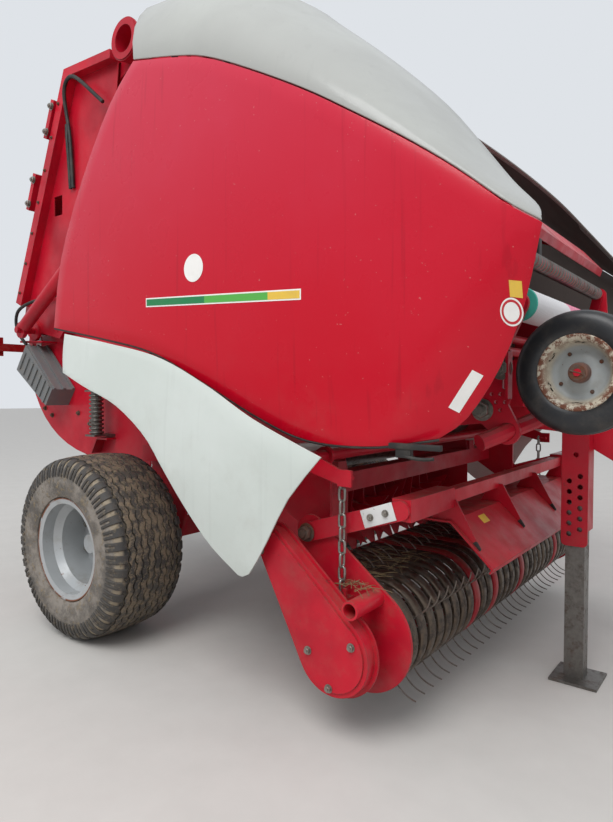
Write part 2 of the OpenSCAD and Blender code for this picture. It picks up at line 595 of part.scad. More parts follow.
module tailgate_frame() color("#b01c2c") {
    both_sides() {
        sheet(side_in, side_t) difference() {
            union() {
                polygon(gate_outline());
                for (e = GATE_EARS) link([e.x, e.y], e.z, [e.x + 160, e.y - 10], e.z - 10);
            }
            translate([gate_x, gate_z]) circle(70 + play);
        }
        // recessed side panel with its cut-out
        sheet(side_out + 60, 6) difference() {
            polygon([[-250, gate_z - 70], [-250, gate_z], [-660, gate_z + 20], [-1225, 1760], [-1270, 1600], [-900, 1500], [-400, 1900]]);
            translate([-895, 2205]) square([85, 115]);
        }
        // box beams round the panel, and the folded lip of the rear one
        sheet(side_out, gate_beam) {
            polygon([[-690, gate_z + 45], [-1270, 1716], [-1210, 1690], [-640, gate_z - 6]]);
            polygon([[-250, gate_z + 15], [-690, gate_z + 45], [-640, gate_z - 6], [-250, gate_z - 32]]);
        }
        sheet(side_out, 66) polygon([[-1270, 1600], [-1276, 1560], [-860, 1470], [-380, 1900], [-400, 1930], [-880, 1510]]);
        // hinge arm with its pin in the boss of the chamber side, and the open ring outside it
        sheet(side_in + 30 + play, 14) link([gate_x, gate_z], 55, [gate_x - 250, gate_z - 60], 70);
        sheet(side_out, 66) translate([gate_x - 250, gate_z - 60]) circle(60);
        shaft(gate_x, gate_z, gate_pin, side_in, side_in + 30 + play + 14);
        difference() {
            union() {
                shaft(gate_x, gate_z, 200, side_in + 30 + play + 6, side_out + 150);
                shaft(gate_x, gate_z, 212, side_out + 132, side_out + 144);
            }
            shaft(gate_x, gate_z, 136, side_in + 30 + play + 30, side_out + 151);
        }
        // bearings of the rear rollers with their brackets
        for (e = GATE_EARS) {
            shaft(e.x, e.y, 150, side_out, side_out + 52);
            shaft(e.x, e.y, 60, side_out + 52, side_out + 70);
            sheet(side_out, gate_beam + 12) translate([e.x + 70, e.y]) rotate(-24) translate([-22, -110]) square([34, 220]);
        }
        // pin of the cylinder between two gussets
        shaft(ram_tail.x, ram_tail.y, ram_pin, side_out, ram_y + 20);
        sheet(side_out, 100) polygon([[-1262, 1462], [-1000, 1452], [-1000, 1462], [-1262, 1474]]);
        sheet(side_out + 66, 20) link(ram_tail, 60, [-1230, 1590], 40);
        // foot of the lock spring, a bent flat bar
        sheet(side_out, 60) polygon([[-496, 878], [-400, 878], [-400, 890], [-502, 890], [-562, 802], [-550, 794]]);
    }
    translate([-1325, -side_in, 1480]) cube([60, 2 * side_in, 80]);
    translate([-720, -side_in, gate_z - 60]) cube([80, 2 * side_in, 60]);
}

GATE_ROLLERS = [[-640, gate_z - 130, 90], [-900, 2745, 90], [-1110, 2365, 90], [-1190, 1420, 90], [-900, 960, 90], [-230, 830, 90]];

module tailgate_rollers() color("#7c7a78")
    for (r = GATE_ROLLERS) shaft(r[0], r[1], r[2], -side_in, side_in);

module tailgate_belts() color("#2c2a29") belts(GATE_ROLLERS);

module rear_lamps() color("#7a1818") both_sides() {
    translate([-tail_x, 760, 1380]) cube([30, 240, 120]);
    translate([-tail_x + 30, side_out, 1410]) cube([12, 1000 - side_out, 50]);
    translate([-tail_x + 30, side_out, 1410]) cube([130, 12, 50]);
}

// Tailgate cylinders, drawn closed from the tail pin to the frame pin
ram_tail = [-1120, 1530];
ram_frame = [300, 2410];
ram_pin = 40;

module ram_barrel() color("#b01c2c") {
    dir = (ram_frame - ram_tail) / norm(ram_frame - ram_tail);
    difference() {
        union() {
            sheet(ram_y - 30, 24) translate(ram_tail) circle(50);
            round_bar([ram_tail.x + 40 * dir.x, ram_y - 18, ram_tail.y + 40 * dir.y],
                [ram_tail.x + 900 * dir.x, ram_y - 18, ram_tail.y + 900 * dir.y], barrel_d);
        }
        shaft(ram_tail.x, ram_tail.y, ram_pin + 2 * pin_gap, ram_y - 70, ram_y + 70);
        round_bar([ram_tail.x + 120 * dir.x, ram_y - 18, ram_tail.y + 120 * dir.y],
            [ram_tail.x + 901 * dir.x, ram_y - 18, ram_tail.y + 901 * dir.y], rod_d + 2 * pin_gap);
    }
}

module ram_rod() color("#c9c9c9") {
    dir = (ram_frame - ram_tail) / norm(ram_frame - ram_tail);
    l = norm(ram_frame - ram_tail);
    round_bar([ram_tail.x + 130 * dir.x, ram_y - 18, ram_tail.y + 130 * dir.y],
        [ram_frame.x - 40 * dir.x, ram_y - 18, ram_frame.y - 40 * dir.y], rod_d);
    difference() {
        sheet(ram_y - 38, 40) translate(ram_frame) circle(45);
        shaft(ram_frame.x, ram_frame.y, ram_pin + 2 * pin_gap, ram_y - 70, ram_y + 70);
    }
}

module ram_barrel_left() ram_barrel();
module ram_barrel_right() right() ram_barrel();
module ram_rod_left() ram_rod();
module ram_rod_right() right() ram_rod();

// Pickup

module pickup_frame() color("#b01c2c") {
    both_sides() {
        difference() {
            sheet(pickup_y, 10) union() {
                link([pivot_x, pivot_z], 60, [reel_x, reel_z], 185);
                polygon([[pivot_x, pivot_z], [band_top_x - 10, pivot_z - 60], [band_top_x - 10, 470],
                    [band_low.x - 14, band_low.y - 4], [band_low.x + 100, band_low.y - 4], [reel_x, reel_z]]);
            }
            shaft(reel_x, reel_z, 60 + 2 * pin_gap, pickup_y - 1, pickup_y + 11);
        }
        shaft(pivot_x, pivot_z, pin_d, ear_y - 20, pickup_y + 34);
        // empty socket tube of the gauge wheel
        difference() {
            shaft(socket_x, socket_z, 60, pickup_y + 10, pickup_y + 170);
            shaft(socket_x, socket_z, socket_d, pickup_y + 11, pickup_y + 171);
        }
        // eye plate through the lowest link of the lift chain
        difference() {
            union() {
                translate([chain_x - 20, chain_y - 4, chain_z - 50]) cube([40, 8, 45]);
                translate([chain_x - 20, pickup_y + 10, chain_z - 50]) cube([40, chain_y + 4 - pickup_y - 10, 12]);
            }
            shaft(chain_x, chain_z - 23, 16, chain_y - 5, chain_y + 5);
        }
    }
    right() {
        difference() {
            union() {
                sheet(case_y, 46) link(CASE_TOP, 62, CASE_LOW, 138);
                // flange where the case's two halves meet
                sheet(case_y, 8) link(CASE_TOP, 74, CASE_LOW, 152);
                sheet(case_y + 46, 6) link(CASE_TOP, 48, CASE_LOW, 122);
            }
            sheet(case_y + 6, 38) link(CASE_TOP, 56, CASE_LOW, 132);
            shaft(reel_x - 100, reel_z - 60, 20, case_y - 5, case_y + 10);
        }
        shaft(CASE_LOW.x, CASE_LOW.y, 60, pickup_y + 10, case_y + 5);
    }
}

// Chain case of the reel's drive: its inner face and the centres of its two ends
case_y = 1090;
CASE_TOP = [pivot_x - 78, pivot_z - 36];
CASE_LOW = [reel_x - 36, reel_z - 28];

socket_x = 1560;
socket_z = 478;
socket_d = 45;

// Gaps between the bands, where tines run
gap_count = floor((2 * pickup_y - 60) / tine_pitch);
function gap_y(i) = (i - (gap_count - 1) / 2) * tine_pitch;

band_t = 3;
band_top_x = 1225;
band_low = [1272, 188];
module band_outline(r) union() {
    translate([reel_x, reel_z]) circle(r);
    polygon([[reel_x, reel_z - r], [reel_x, reel_z + r], [band_top_x - 1, reel_z + r], [band_top_x - 1, reel_z],
        [band_low.x - 1, band_low.y + band_r - r]]);
}
module stripper_bands() color("#4c4440") {
    for (i = [0:gap_count]) translate([0, gap_y(i) - tine_pitch / 2 - band_w / 2, 0]) sheet(0, band_w) difference() {
        band_outline(band_r);
        band_outline(band_r - band_t);
        translate([band_top_x - 50, band_low.y + 40]) square([120, reel_z + band_r - band_t - band_low.y - 40]);
        translate([band_top_x - 50, 0]) square([50, 700]);
    }
    translate([band_top_x, -pickup_y, reel_z + band_r - 30]) cube([6, 2 * pickup_y, 30 - band_t]);
    translate([band_low.x - 6, -pickup_y, band_low.y + band_t]) cube([6, 2 * pickup_y, 30]);
}

module pickup_reel() color("#5a4a42") {
    shaft(reel_x, reel_z, 60, -pickup_y - 8, pickup_y + 8);
    for (k = [0:3]) translate([reel_x, 0, reel_z]) rotate([0, k * 90 + 20, 0]) {
        shaft(105, 0, 30, -pickup_y + play, pickup_y - play);
        for (i = [0:gap_count - 1]) {
            round_bar([105, gap_y(i), 0], [tine_r - 55, gap_y(i), 0], tine_d, $fn = 6);
            round_bar([tine_r - 57, gap_y(i), -1], [tine_r - 14, gap_y(i), 40], tine_d, $fn = 6);
        }
    }
    for (y = [-pickup_y + play, 0, pickup_y - play - 6]) translate([0, y, 0]) sheet(0, 6)
        translate([reel_x, reel_z]) circle(125);
}

module windguard() color("#b01c2c") {
    both_sides() difference() {
        sheet(pickup_y + 16, 12) link([pivot_x, pivot_z], 34, [1655, 778], 32);
        shaft(pivot_x, pivot_z, pin_d + 2 * pin_gap, pickup_y, pickup_y + 60);
    }
    // cross bar, thicker towards its ends, and the deflector with its hem and gussets
    sheet(-pickup_y - 16, 2 * pickup_y + 32) translate([1633, 754]) square([44, 48]);
    both_sides() sheet(690, pickup_y + 16 - 690) translate([1621, 742]) square([68, 72]);
    sheet(-706, 1412) polygon([[1526, 688], [1679, 688], [1830, 545], [1822, 532], [1827, 529], [1838, 549], [1681, 695], [1526, 695]]);
    for (y = [-690, -225, 219, 684]) sheet(y, 6) {
        polygon([[1600, 694], [1679, 694], [1680, 764], [1640, 764]]);
        polygon([[1679, 690], [1780, 597], [1786, 606], [1694, 770], [1672, 770]]);
    }
}

module lift_chain() color("#7d7772") both_sides() for (i = [0:chain_links - 1])
    translate([chain_x, chain_y, chain_z + i * chain_pitch]) rotate([0, 0, (i + 1) % 2 * 90]) rotate([90, 0, 0])
        translate([0, 0, -5]) linear_extrude(10) difference() {
            union() {
                translate([0, 12]) circle(16);
                translate([0, -12]) circle(16);
                square([32, 24], center = true);
            }
            translate([0, 12]) circle(link_eye / 2);
            translate([0, -12]) circle(link_eye / 2);
            square([link_eye, 24], center = true);
        }

// Gauge wheels, stowed at the front frame
gauge_x = 2090;
gauge_y = 640;
gauge_z = 1215;

module gauge_wheel_arms() color("#b01c2c") both_sides() {
    swept(rounded([arm_a, arm_b, [gauge_x - 20, 505, 1150], [gauge_x, 505, gauge_z + 30]], 40), arm_d, [1, 1, 0], 12);
    shaft(gauge_x, gauge_z, 25, 490, gauge_y + 40);
}

// Dished rim of a gauge wheel about the Y axis, with its hub
module gauge_rim() rotate([90, 0, 0]) rotate_extrude($fn = 64) {
    polygon([[100, -40], [112, -44], [112, -40], [103, -34], [96, -20], [96, 20], [103, 34], [112, 40], [112, 44], [100, 40],
        [90, 22], [90, 8], [72, -6], [40, -10], [0, -10], [0, -18], [44, -18], [76, -14], [90, -4], [90, -22]]);
    polygon([[0, -30], [30, -30], [30, 30], [24, 36], [0, 36]]);
}
module gauge_wheel() color("#2f2b28") difference() {
    translate([gauge_x, gauge_y, gauge_z]) {
        tyre(gauge_d, gauge_w, 192, 66, 3, 8);
        gauge_rim();
    }
    shaft(gauge_x, gauge_z, 25 + 2 * pin_gap, gauge_y - 60, gauge_y + 60);
}
module gauge_wheel_left() gauge_wheel();
module gauge_wheel_right() right() gauge_wheel();

// Lock spring: stacked coils round a rod between two flat brackets
spring_x = -450;
spring_out = 90;
module lock_springs() color("#6b5f58") both_sides() {
    translate([spring_x, side_out + spring_out, 905]) cylinder(h = 250, d = 58);
    for (i = [0:9]) translate([spring_x, side_out + spring_out, 922 + i * 23]) rotate_extrude($fn = 32)
        translate([33, 0]) circle(7, $fn = 12);
    for (z = [900, 1150]) translate([spring_x - 45, side_out, z]) cube([90, spring_out + 45, 10]);
}

// Wheel chock in its holder, a ribbed block that leans forwards and down
module wheel_chock() color("#8d8f8f") right() translate([-1158, 0, 1361]) rotate([0, 38, 0]) {
    sheet(side_out, 150) polygon([[0, -92], [400, -60], [400, 62], [0, 96]]);
    for (i = [0:6]) sheet(side_out + 150, 8) translate([20 + i * 56, -60]) square([18, 122]);
    for (y = [side_out + 6, side_out + 66, side_out + 126]) sheet(y, 14) polygon([[0, 96], [400, 62], [400, 72], [0, 106]]);
}

// Hoses from the drawbar's front to the chamber, clipped along their way
hose_d = 20;
HOSE = [[1600, 370, 1120], [1700, 370, 1120], [1860, 160, 1115], [1990, 25, 1100],
    [elbow_x - 5, 25, bar_line(elbow_x) + 26], [hitch_x - 170, 25, hitch_z + 92]];

module hydraulic_hoses() color("#1d1d1d") {
    for (y = [0, 30]) translate([0, y, 0]) swept(rounded(HOSE, 60), hose_d, [0, 0, 1]);
    // clips that hold them on the drawbar
    for (x = [2080, 2260]) sheet(5, 64)
        polygon([[x, bar_line(x)], [x + 30, bar_line(x + 30)], [x + 30, bar_line(x) + 12], [x, bar_line(x) + 30]]);
}

module from_axle() translate([centre_shift, 0, 0]) children();

from_axle() chassis();
from_axle() chamber_side_right();
from_axle() chamber_side_left();
from_axle() front_frame();
from_axle() front_rollers();
from_axle() front_belts();
from_axle() front_hood();
from_axle() net_roll();
from_axle() feed_rotor();
from_axle() gearbox();
from_axle() drawbar();
from_axle() hitch_eye();
from_axle() stand_channel();
from_axle() stand_leg();
from_axle() fender_right();
from_axle() fender_left();
from_axle() tyre_right();
from_axle() tyre_left();
from_axle() rim_right();
from_axle() rim_left();
from_axle() tailgate_frame();
from_axle() tailgate_rollers();
from_axle() tailgate_belts();
from_axle() rear_lamps();
from_axle() ram_barrel_right();
from_axle() ram_barrel_left();
from_axle() ram_rod_right();
from_axle() ram_rod_left();
from_axle() cover_right();
from_axle() cover_left();
from_axle() cover_band_right();
from_axle() cover_band_left();
from_axle() pickup_frame();
from_axle() stripper_bands();
from_axle() pickup_reel();
from_axle() windguard();
from_axle() lift_chain();
from_axle() gauge_wheel_arms();
from_axle() gauge_wheel_right();
from_axle() gauge_wheel_left();
from_axle() lock_springs();
from_axle() wheel_chock();
from_axle() hydraulic_hoses();
from_axle() cover_frame_right();
from_axle() cover_frame_left();
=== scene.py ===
"""Looks of a towed round baler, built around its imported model.

Lengths in the tables are millimetres, taken from the ground below the wheel axle:
x forward, y to the left and z up. place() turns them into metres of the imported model.
"""

import json
import math
import random

import bmesh
import bpy
from mathutils import Matrix, Vector


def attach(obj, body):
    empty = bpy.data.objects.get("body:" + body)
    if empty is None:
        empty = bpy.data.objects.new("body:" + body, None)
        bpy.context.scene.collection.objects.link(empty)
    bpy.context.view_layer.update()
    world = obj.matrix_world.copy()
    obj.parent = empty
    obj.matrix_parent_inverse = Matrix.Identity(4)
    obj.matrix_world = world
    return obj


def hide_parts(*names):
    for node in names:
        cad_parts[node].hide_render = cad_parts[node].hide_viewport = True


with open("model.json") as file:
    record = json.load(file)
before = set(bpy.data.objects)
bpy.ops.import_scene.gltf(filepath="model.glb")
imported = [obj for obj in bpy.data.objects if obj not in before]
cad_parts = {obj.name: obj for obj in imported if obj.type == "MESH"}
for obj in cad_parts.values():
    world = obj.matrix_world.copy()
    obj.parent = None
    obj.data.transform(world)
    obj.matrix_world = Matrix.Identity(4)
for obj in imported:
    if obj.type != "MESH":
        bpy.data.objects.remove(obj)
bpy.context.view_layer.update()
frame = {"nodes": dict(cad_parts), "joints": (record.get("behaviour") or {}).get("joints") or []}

AXLE = Vector(next(joint["pos_m"] for joint in frame["joints"] if joint["name"] == "wheel_right_spin"))
MM = 0.001
SIDES = ((-1, "right"), (1, "left"))
# Main tyre: its outer radius, which is the axle's height too, and its middle across the machine
TREAD_R = 425.5
TYRE_MIDDLE = 1004.5
# Middle of a gauge wheel ahead of, beside and above the axle's foot
GAUGE = (2090, 640, 1215)


def place(x, y, z):
    """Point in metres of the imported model, from millimetres ahead of, left of and above the axle's foot."""
    return Vector((AXLE.x + x * MM, y * MM, z * MM))


# Selection and modelling helpers

def unselect():
    """Leaves edit mode and selects nothing."""
    if bpy.context.mode != "OBJECT":
        bpy.ops.object.mode_set(mode="OBJECT")
    bpy.ops.object.select_all(action="DESELECT")


def work_on(obj):
    """Makes obj the only selected object and the active one."""
    unselect()
    obj.select_set(True)
    bpy.context.view_layer.objects.active = obj


def edit(obj):
    """Opens obj in edit mode."""
    work_on(obj)
    bpy.ops.object.mode_set(mode="EDIT")


def choose(obj, test):
    """In edit mode, selects only the vertices whose place passes test."""
    bpy.ops.mesh.select_mode(type="VERT")
    bpy.ops.mesh.select_all(action="DESELECT")
    mesh = bmesh.from_edit_mesh(obj.data)
    for vert in mesh.verts:
        vert.select = test(vert.co)
    mesh.select_flush_mode()
    bmesh.update_edit_mesh(obj.data)


def apply_all(obj):
    """Applies every modifier of obj, then its place, turn and scale."""
    work_on(obj)
    for modifier in list(obj.modifiers):
        bpy.ops.object.modifier_apply(modifier=modifier.name)
    bpy.ops.object.transform_apply(location=True, rotation=True, scale=True)


def join(parts):
    """One object from several, with their places applied."""
    for part in parts:
        apply_all(part)
    unselect()
    for part in parts:
        part.select_set(True)
    bpy.context.view_layer.objects.active = parts[0]
    if len(parts) > 1:
        bpy.ops.object.join()
    return bpy.context.object


def copy_of(obj, matrix):
    """A copy of obj with its own mesh, moved by matrix."""
    twin = bpy.data.objects.new(obj.name, obj.data.copy())
    bpy.context.scene.collection.objects.link(twin)
    twin.data.transform(matrix)
    return twin


def repeat(obj, matrices):
    """One object made of a copy of obj at each matrix. obj itself goes."""
    apply_all(obj)
    copies = [copy_of(obj, matrix) for matrix in matrices]
    bpy.data.objects.remove(obj)
    return join(copies)


def towards(point, direction):
    """Matrix that takes a piece from the origin, pointing up Z, to point, pointing along direction."""
    turn = Vector(direction).to_track_quat("Z", "Y").to_matrix().to_4x4()
    return Matrix.Translation(point) @ turn


def finished(obj, name, material, body, smooth=32, replaces=()):
    """Names a piece, gives it its finish and lets it ride on its body."""
    apply_all(obj)
    bpy.ops.object.shade_smooth_by_angle(angle=math.radians(smooth))
    obj.name = name
    obj.data.name = name
    if material:
        obj.data.materials.clear()
        obj.data.materials.append(material)
    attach(obj, body)
    if replaces:
        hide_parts(*replaces)
    return obj


def merged_copy(node, name):
    """Copy of a CAD node's mesh as one skin, with quads where two triangles lie flat."""
    obj = copy_of(frame["nodes"][node], Matrix.Identity(4))
    obj.name = name
    edit(obj)
    bpy.ops.mesh.select_all(action="SELECT")
    bpy.ops.mesh.remove_doubles(threshold=0.00002)
    bpy.ops.mesh.tris_convert_to_quads(face_threshold=math.radians(8), shape_threshold=math.radians(70))
    bpy.ops.object.mode_set(mode="OBJECT")
    return obj


def bevelled(obj, width, segments, angle):
    """Rounds the edges of obj that are sharper than angle, in degrees."""
    work_on(obj)
    bevel = obj.modifiers.new("rounding", "BEVEL")
    bevel.width = width
    bevel.segments = segments
    bevel.limit_method = "ANGLE"
    bevel.angle_limit = math.radians(angle)
    bevel.harden_normals = False
    bpy.ops.object.modifier_apply(modifier=bevel.name)
    return obj


def walled(obj, thickness, offset):
    """Gives an open surface a wall. finished() and join() apply it."""
    wall = obj.modifiers.new("wall", "SOLIDIFY")
    wall.thickness = thickness * MM
    wall.offset = offset
    return obj


def tube(points, diameter, sides):
    """Round tube along points in metres, with closed ends. Through three or more it bends smoothly."""
    curve = bpy.data.curves.new("tube", "CURVE")
    curve.dimensions = "3D"
    curve.bevel_depth = diameter / 2
    curve.bevel_resolution = max(0, sides // 4 - 1)
    curve.use_fill_caps = True
    line = curve.splines.new("NURBS" if len(points) > 2 else "POLY")
    line.points.add(len(points) - 1)
    for spot, point in zip(line.points, points):
        spot.co = (*point, 1)
    if len(points) > 2:
        line.order_u = 3
        line.use_endpoint_u = True
        line.resolution_u = 5
    obj = bpy.data.objects.new("tube", curve)
    bpy.context.scene.collection.objects.link(obj)
    work_on(obj)
    bpy.ops.object.convert(target="MESH")
    return bpy.context.object


def chain_of_points(points, closed=False):
    """Line of vertices through points in metres, drawn by extruding one vertex of a plane."""
    unselect()
    bpy.ops.mesh.primitive_plane_add(size=0.01)
    obj = bpy.context.object
    bpy.ops.object.mode_set(mode="EDIT")
    bpy.ops.mesh.merge(type="CENTER")
    bpy.ops.transform.translate(value=points[0])
    for a, b in zip(points, points[1:]):
        bpy.ops.mesh.extrude_vertices_move(TRANSFORM_OT_translate={"value": Vector(b) - Vector(a)})
    bpy.ops.mesh.select_all(action="SELECT")
    if closed:
        bpy.ops.mesh.edge_face_add()
    return obj


def turned(profile, steps):
    """Turned piece about the Z axis from a profile of radius and height in millimetres."""
    obj = chain_of_points([(r * MM, 0, z * MM) for r, z in profile])
    bpy.ops.mesh.spin(steps=steps, angle=math.tau, center=(0, 0, 0), axis=(0, 0, 1))
    bpy.ops.mesh.select_all(action="SELECT")
    bpy.ops.mesh.remove_doubles(threshold=0.00001)
    bpy.ops.mesh.normals_make_consistent(inside=False)
    bpy.ops.object.mode_set(mode="OBJECT")
    return obj


def plate(outline, thickness, rounding=0.0):
    """Flat plate from an outline of x and z in millimetres, from y = 0 to y = thickness."""
    obj = chain_of_points([(x * MM, 0, z * MM) for x, z in outline], closed=True)
    bpy.ops.mesh.extrude_region_move(TRANSFORM_OT_translate={"value": (0, thickness * MM, 0)})
    bpy.ops.mesh.select_all(action="SELECT")
    bpy.ops.mesh.normals_make_consistent(inside=False)
    bpy.ops.object.mode_set(mode="OBJECT")
    if rounding:
        bevelled(obj, rounding * MM, 2, 30)
    return obj


def block(low, high, rounding=2.0):
    """Box with rounded edges between two corners in millimetres from the axle's foot."""
    a, b = place(*low), place(*high)
    unselect()
    bpy.ops.mesh.primitive_cube_add(size=1, location=(a + b) / 2)
    obj = bpy.context.object
    obj.scale = [abs(v) for v in (b - a)]
    apply_all(obj)
    return bevelled(obj, rounding * MM, 2, 30)


def hex_bolt(size):
    """Bolt of a thread size in millimetres: washer, head and thread's end, from the origin along Z."""
    washer, unit = 2.5 * MM, size * MM
    parts = []
    for vertices, radius, depth, low in ((24, 1.1 * unit, washer, 0), (6, 0.85 * unit, 0.7 * unit, washer),
                                         (12, 0.45 * unit, 0.3 * unit, washer + 0.7 * unit)):
        unselect()
        bpy.ops.mesh.primitive_cylinder_add(vertices=vertices, radius=radius, depth=depth,
                                            location=(0, 0, low + depth / 2))
        parts.append(bpy.context.object)
    bevelled(parts[1], 0.06 * unit, 1, 40)
    return join(parts)


def bolts(name, rows, material, body, size):
    """Bolt heads at rows of a point in millimetres and the direction each head points to."""
    spots = [towards(place(*point), way) for point, way in rows]
    return finished(repeat(hex_bolt(size), spots), name, material, body, 35)


def mirrored(rows):
    """Rows of points and directions, and the same on the other side."""
    other = [((p[0], -p[1], p[2]), (w[0], -w[1], w[2])) for p, w in rows]
    return list(rows) + other


def ring_about_y(obj, x, y, z):
    """Takes a turned piece from the Z axis to the Y axis through a point in millimetres, its top outwards."""
    turn = math.radians(90 if y <= 0 else -90)
    obj.matrix_world = Matrix.Translation(place(x, y, z)) @ Matrix.Rotation(turn, 4, "X")
    apply_all(obj)
    return obj


# Colours and materials

def linear(hex_colour):
    """Linear colour of an sRGB hex value."""
    parts = [int(hex_colour[i:i + 2], 16) / 255 for i in (1, 3, 5)]
    return (*[c / 12.92 if c <= 0.04045 else ((c + 0.055) / 1.055) ** 2.4 for c in parts], 1)


def darker(hex_colour, share):
    """Hex colour with each channel times share."""
    return "#" + "".join(f"{round(int(hex_colour[i:i + 2], 16) * share):02x}" for i in (1, 3, 5))


# A map range that eases in and out, so that no patch ends in a hard line
EASED = {"interpolation_type": "SMOOTHSTEP"}


def add(tree, kind, inputs=None, **settings):
    """Adds a shader node. Each input takes a value, or the output of another node."""
    made = tree.nodes.new("ShaderNode" + kind)
    for name, value in settings.items():
        setattr(made, name, value)
    for key, value in (inputs or {}).items():
        if isinstance(value, bpy.types.NodeSocket):
            tree.links.new(value, made.inputs[key])
        else:
            made.inputs[key].default_value = value
    return made


def start_material(name):
    """Empty material, its node tree and its Object coordinates."""
    material = bpy.data.materials.new(name)
    material.use_nodes = True
    tree = material.node_tree
    tree.nodes.clear()
    return material, tree, add(tree, "TexCoord").outputs["Object"]


def shade(tree, inputs):
    """Closes a material with its shader. A list stands for a share and the input's values at 0 and at 1."""
    ready = {}
    for key, value in inputs.items():
        if isinstance(value, list):
            share, bare, covered = value
            value = add(tree, "MapRange", {"Value": share, "To Min": bare, "To Max": covered},
                        **EASED).outputs["Result"]
        ready[key] = value
    shader = add(tree, "BsdfPrincipled", ready)
    add(tree, "OutputMaterial", {"Surface": shader.outputs["BSDF"]})


def over(tree, below, colour, *shares):
    """Lays a colour over what is below it, by the product of shares from 0 to 1."""
    share = shares[0]
    for other in shares[1:]:
        share = add(tree, "Math", {0: share, 1: other}, operation="MULTIPLY").outputs[0]
    below, colour = [linear(c) if isinstance(c, str) else c for c in (below, colour)]
    return add(tree, "Mix", {0: share, 6: below, 7: colour}, data_type="RGBA").outputs[2]


def mottled(tree, coords, grain, first, second, detail=4, rough=0.55):
    """Colour that wanders between two with a grain in millimetres."""
    cloud = add(tree, "TexNoise", {"Vector": coords, "Scale": 1 / (grain * MM), "Detail": detail,
                                   "Roughness": rough}).outputs["Fac"]
    return over(tree, first, second, cloud)


def patches(tree, coords, grain, low, high, most=1.0, least=0.0, detail=4, rough=0.55):
    """Patches of a grain in millimetres, from least where the noise is low to most where it is high."""
    cloud = add(tree, "TexNoise", {"Vector": coords, "Scale": 1 / (grain * MM), "Detail": detail,
                                   "Roughness": rough}).outputs["Fac"]
    return add(tree, "MapRange",
               {"Value": cloud, "From Min": low, "From Max": high, "To Min": least, "To Max": most},
               **EASED).outputs["Result"]


def relief(tree, coords, grain, depth, strength, under=None, detail=4, rough=0.55):
    """Unevenness of a grain and a depth in millimetres, on top of the relief under it."""
    cloud = add(tree, "TexNoise", {"Vector": coords, "Scale": 1 / (grain * MM), "Detail": detail,
                                   "Roughness": rough}).outputs["Fac"]
    inputs = {"Height": cloud, "Distance": depth * MM, "Strength": strength}
    if under:
        inputs["Normal"] = under
    return add(tree, "Bump", inputs).outputs[0]


def by_height(tree, coords, start, full, least=0.0):
    """Share that grows from least to 1 between two heights above the ground in millimetres."""
    up = add(tree, "SeparateXYZ", {0: coords}).outputs["Z"]
    return add(tree, "MapRange",
               {"Value": up, "From Min": start * MM, "From Max": full * MM, "To Min": least},
               **EASED).outputs["Result"]


def facing_up(tree):
    """Share that is 1 on faces that look up and 0 on steep ones."""
    normal = add(tree, "TexCoord").outputs["Normal"]
    up = add(tree, "SeparateXYZ", {0: normal}).outputs["Z"]
    return add(tree, "MapRange", {"Value": up, "From Min": 0.55, "From Max": 0.95},
               **EASED).outputs["Result"]


def ring(tree, coords, *edges, most=1.0, hub=(0, TREAD_R)):
    """Ring about a wheel's axis that fades in over each edge, a start and an end radius in millimetres."""
    middle = place(hub[0], 0, hub[1])
    off = add(tree, "VectorMath", {0: coords, 1: middle}, operation="SUBTRACT").outputs[0]
    flat = add(tree, "VectorMath", {0: off, 1: (1, 0, 1)}, operation="MULTIPLY").outputs[0]
    radius = add(tree, "VectorMath", {0: flat}, operation="LENGTH").outputs["Value"]
    share = most
    for start, full in edges:
        edge = add(tree, "MapRange", {"Value": radius, "From Min": start * MM, "From Max": full * MM},
                   **EASED).outputs["Result"]
        share = add(tree, "Math", {0: share, 1: edge}, operation="MULTIPLY").outputs[0]
    return share


def worn_edges(tree, coords, radius):
    """1 along outer edges of a piece, broken up by chips of 11 mm, and 0 on its faces."""
    round_normal = add(tree, "Bevel", {"Radius": radius * MM}, samples=6).outputs[0]
    flat_normal = add(tree, "NewGeometry").outputs["Normal"]
    likeness = add(tree, "VectorMath", {0: round_normal, 1: flat_normal},
                   operation="DOT_PRODUCT").outputs["Value"]
    edge = add(tree, "MapRange", {"Value": likeness, "From Min": 0.985, "From Max": 0.86},
               **EASED).outputs["Result"]
    chips = patches(tree, coords, 11.11, 0.42, 0.56)
    return add(tree, "Math", {0: edge, 1: chips}, operation="MULTIPLY").outputs[0]


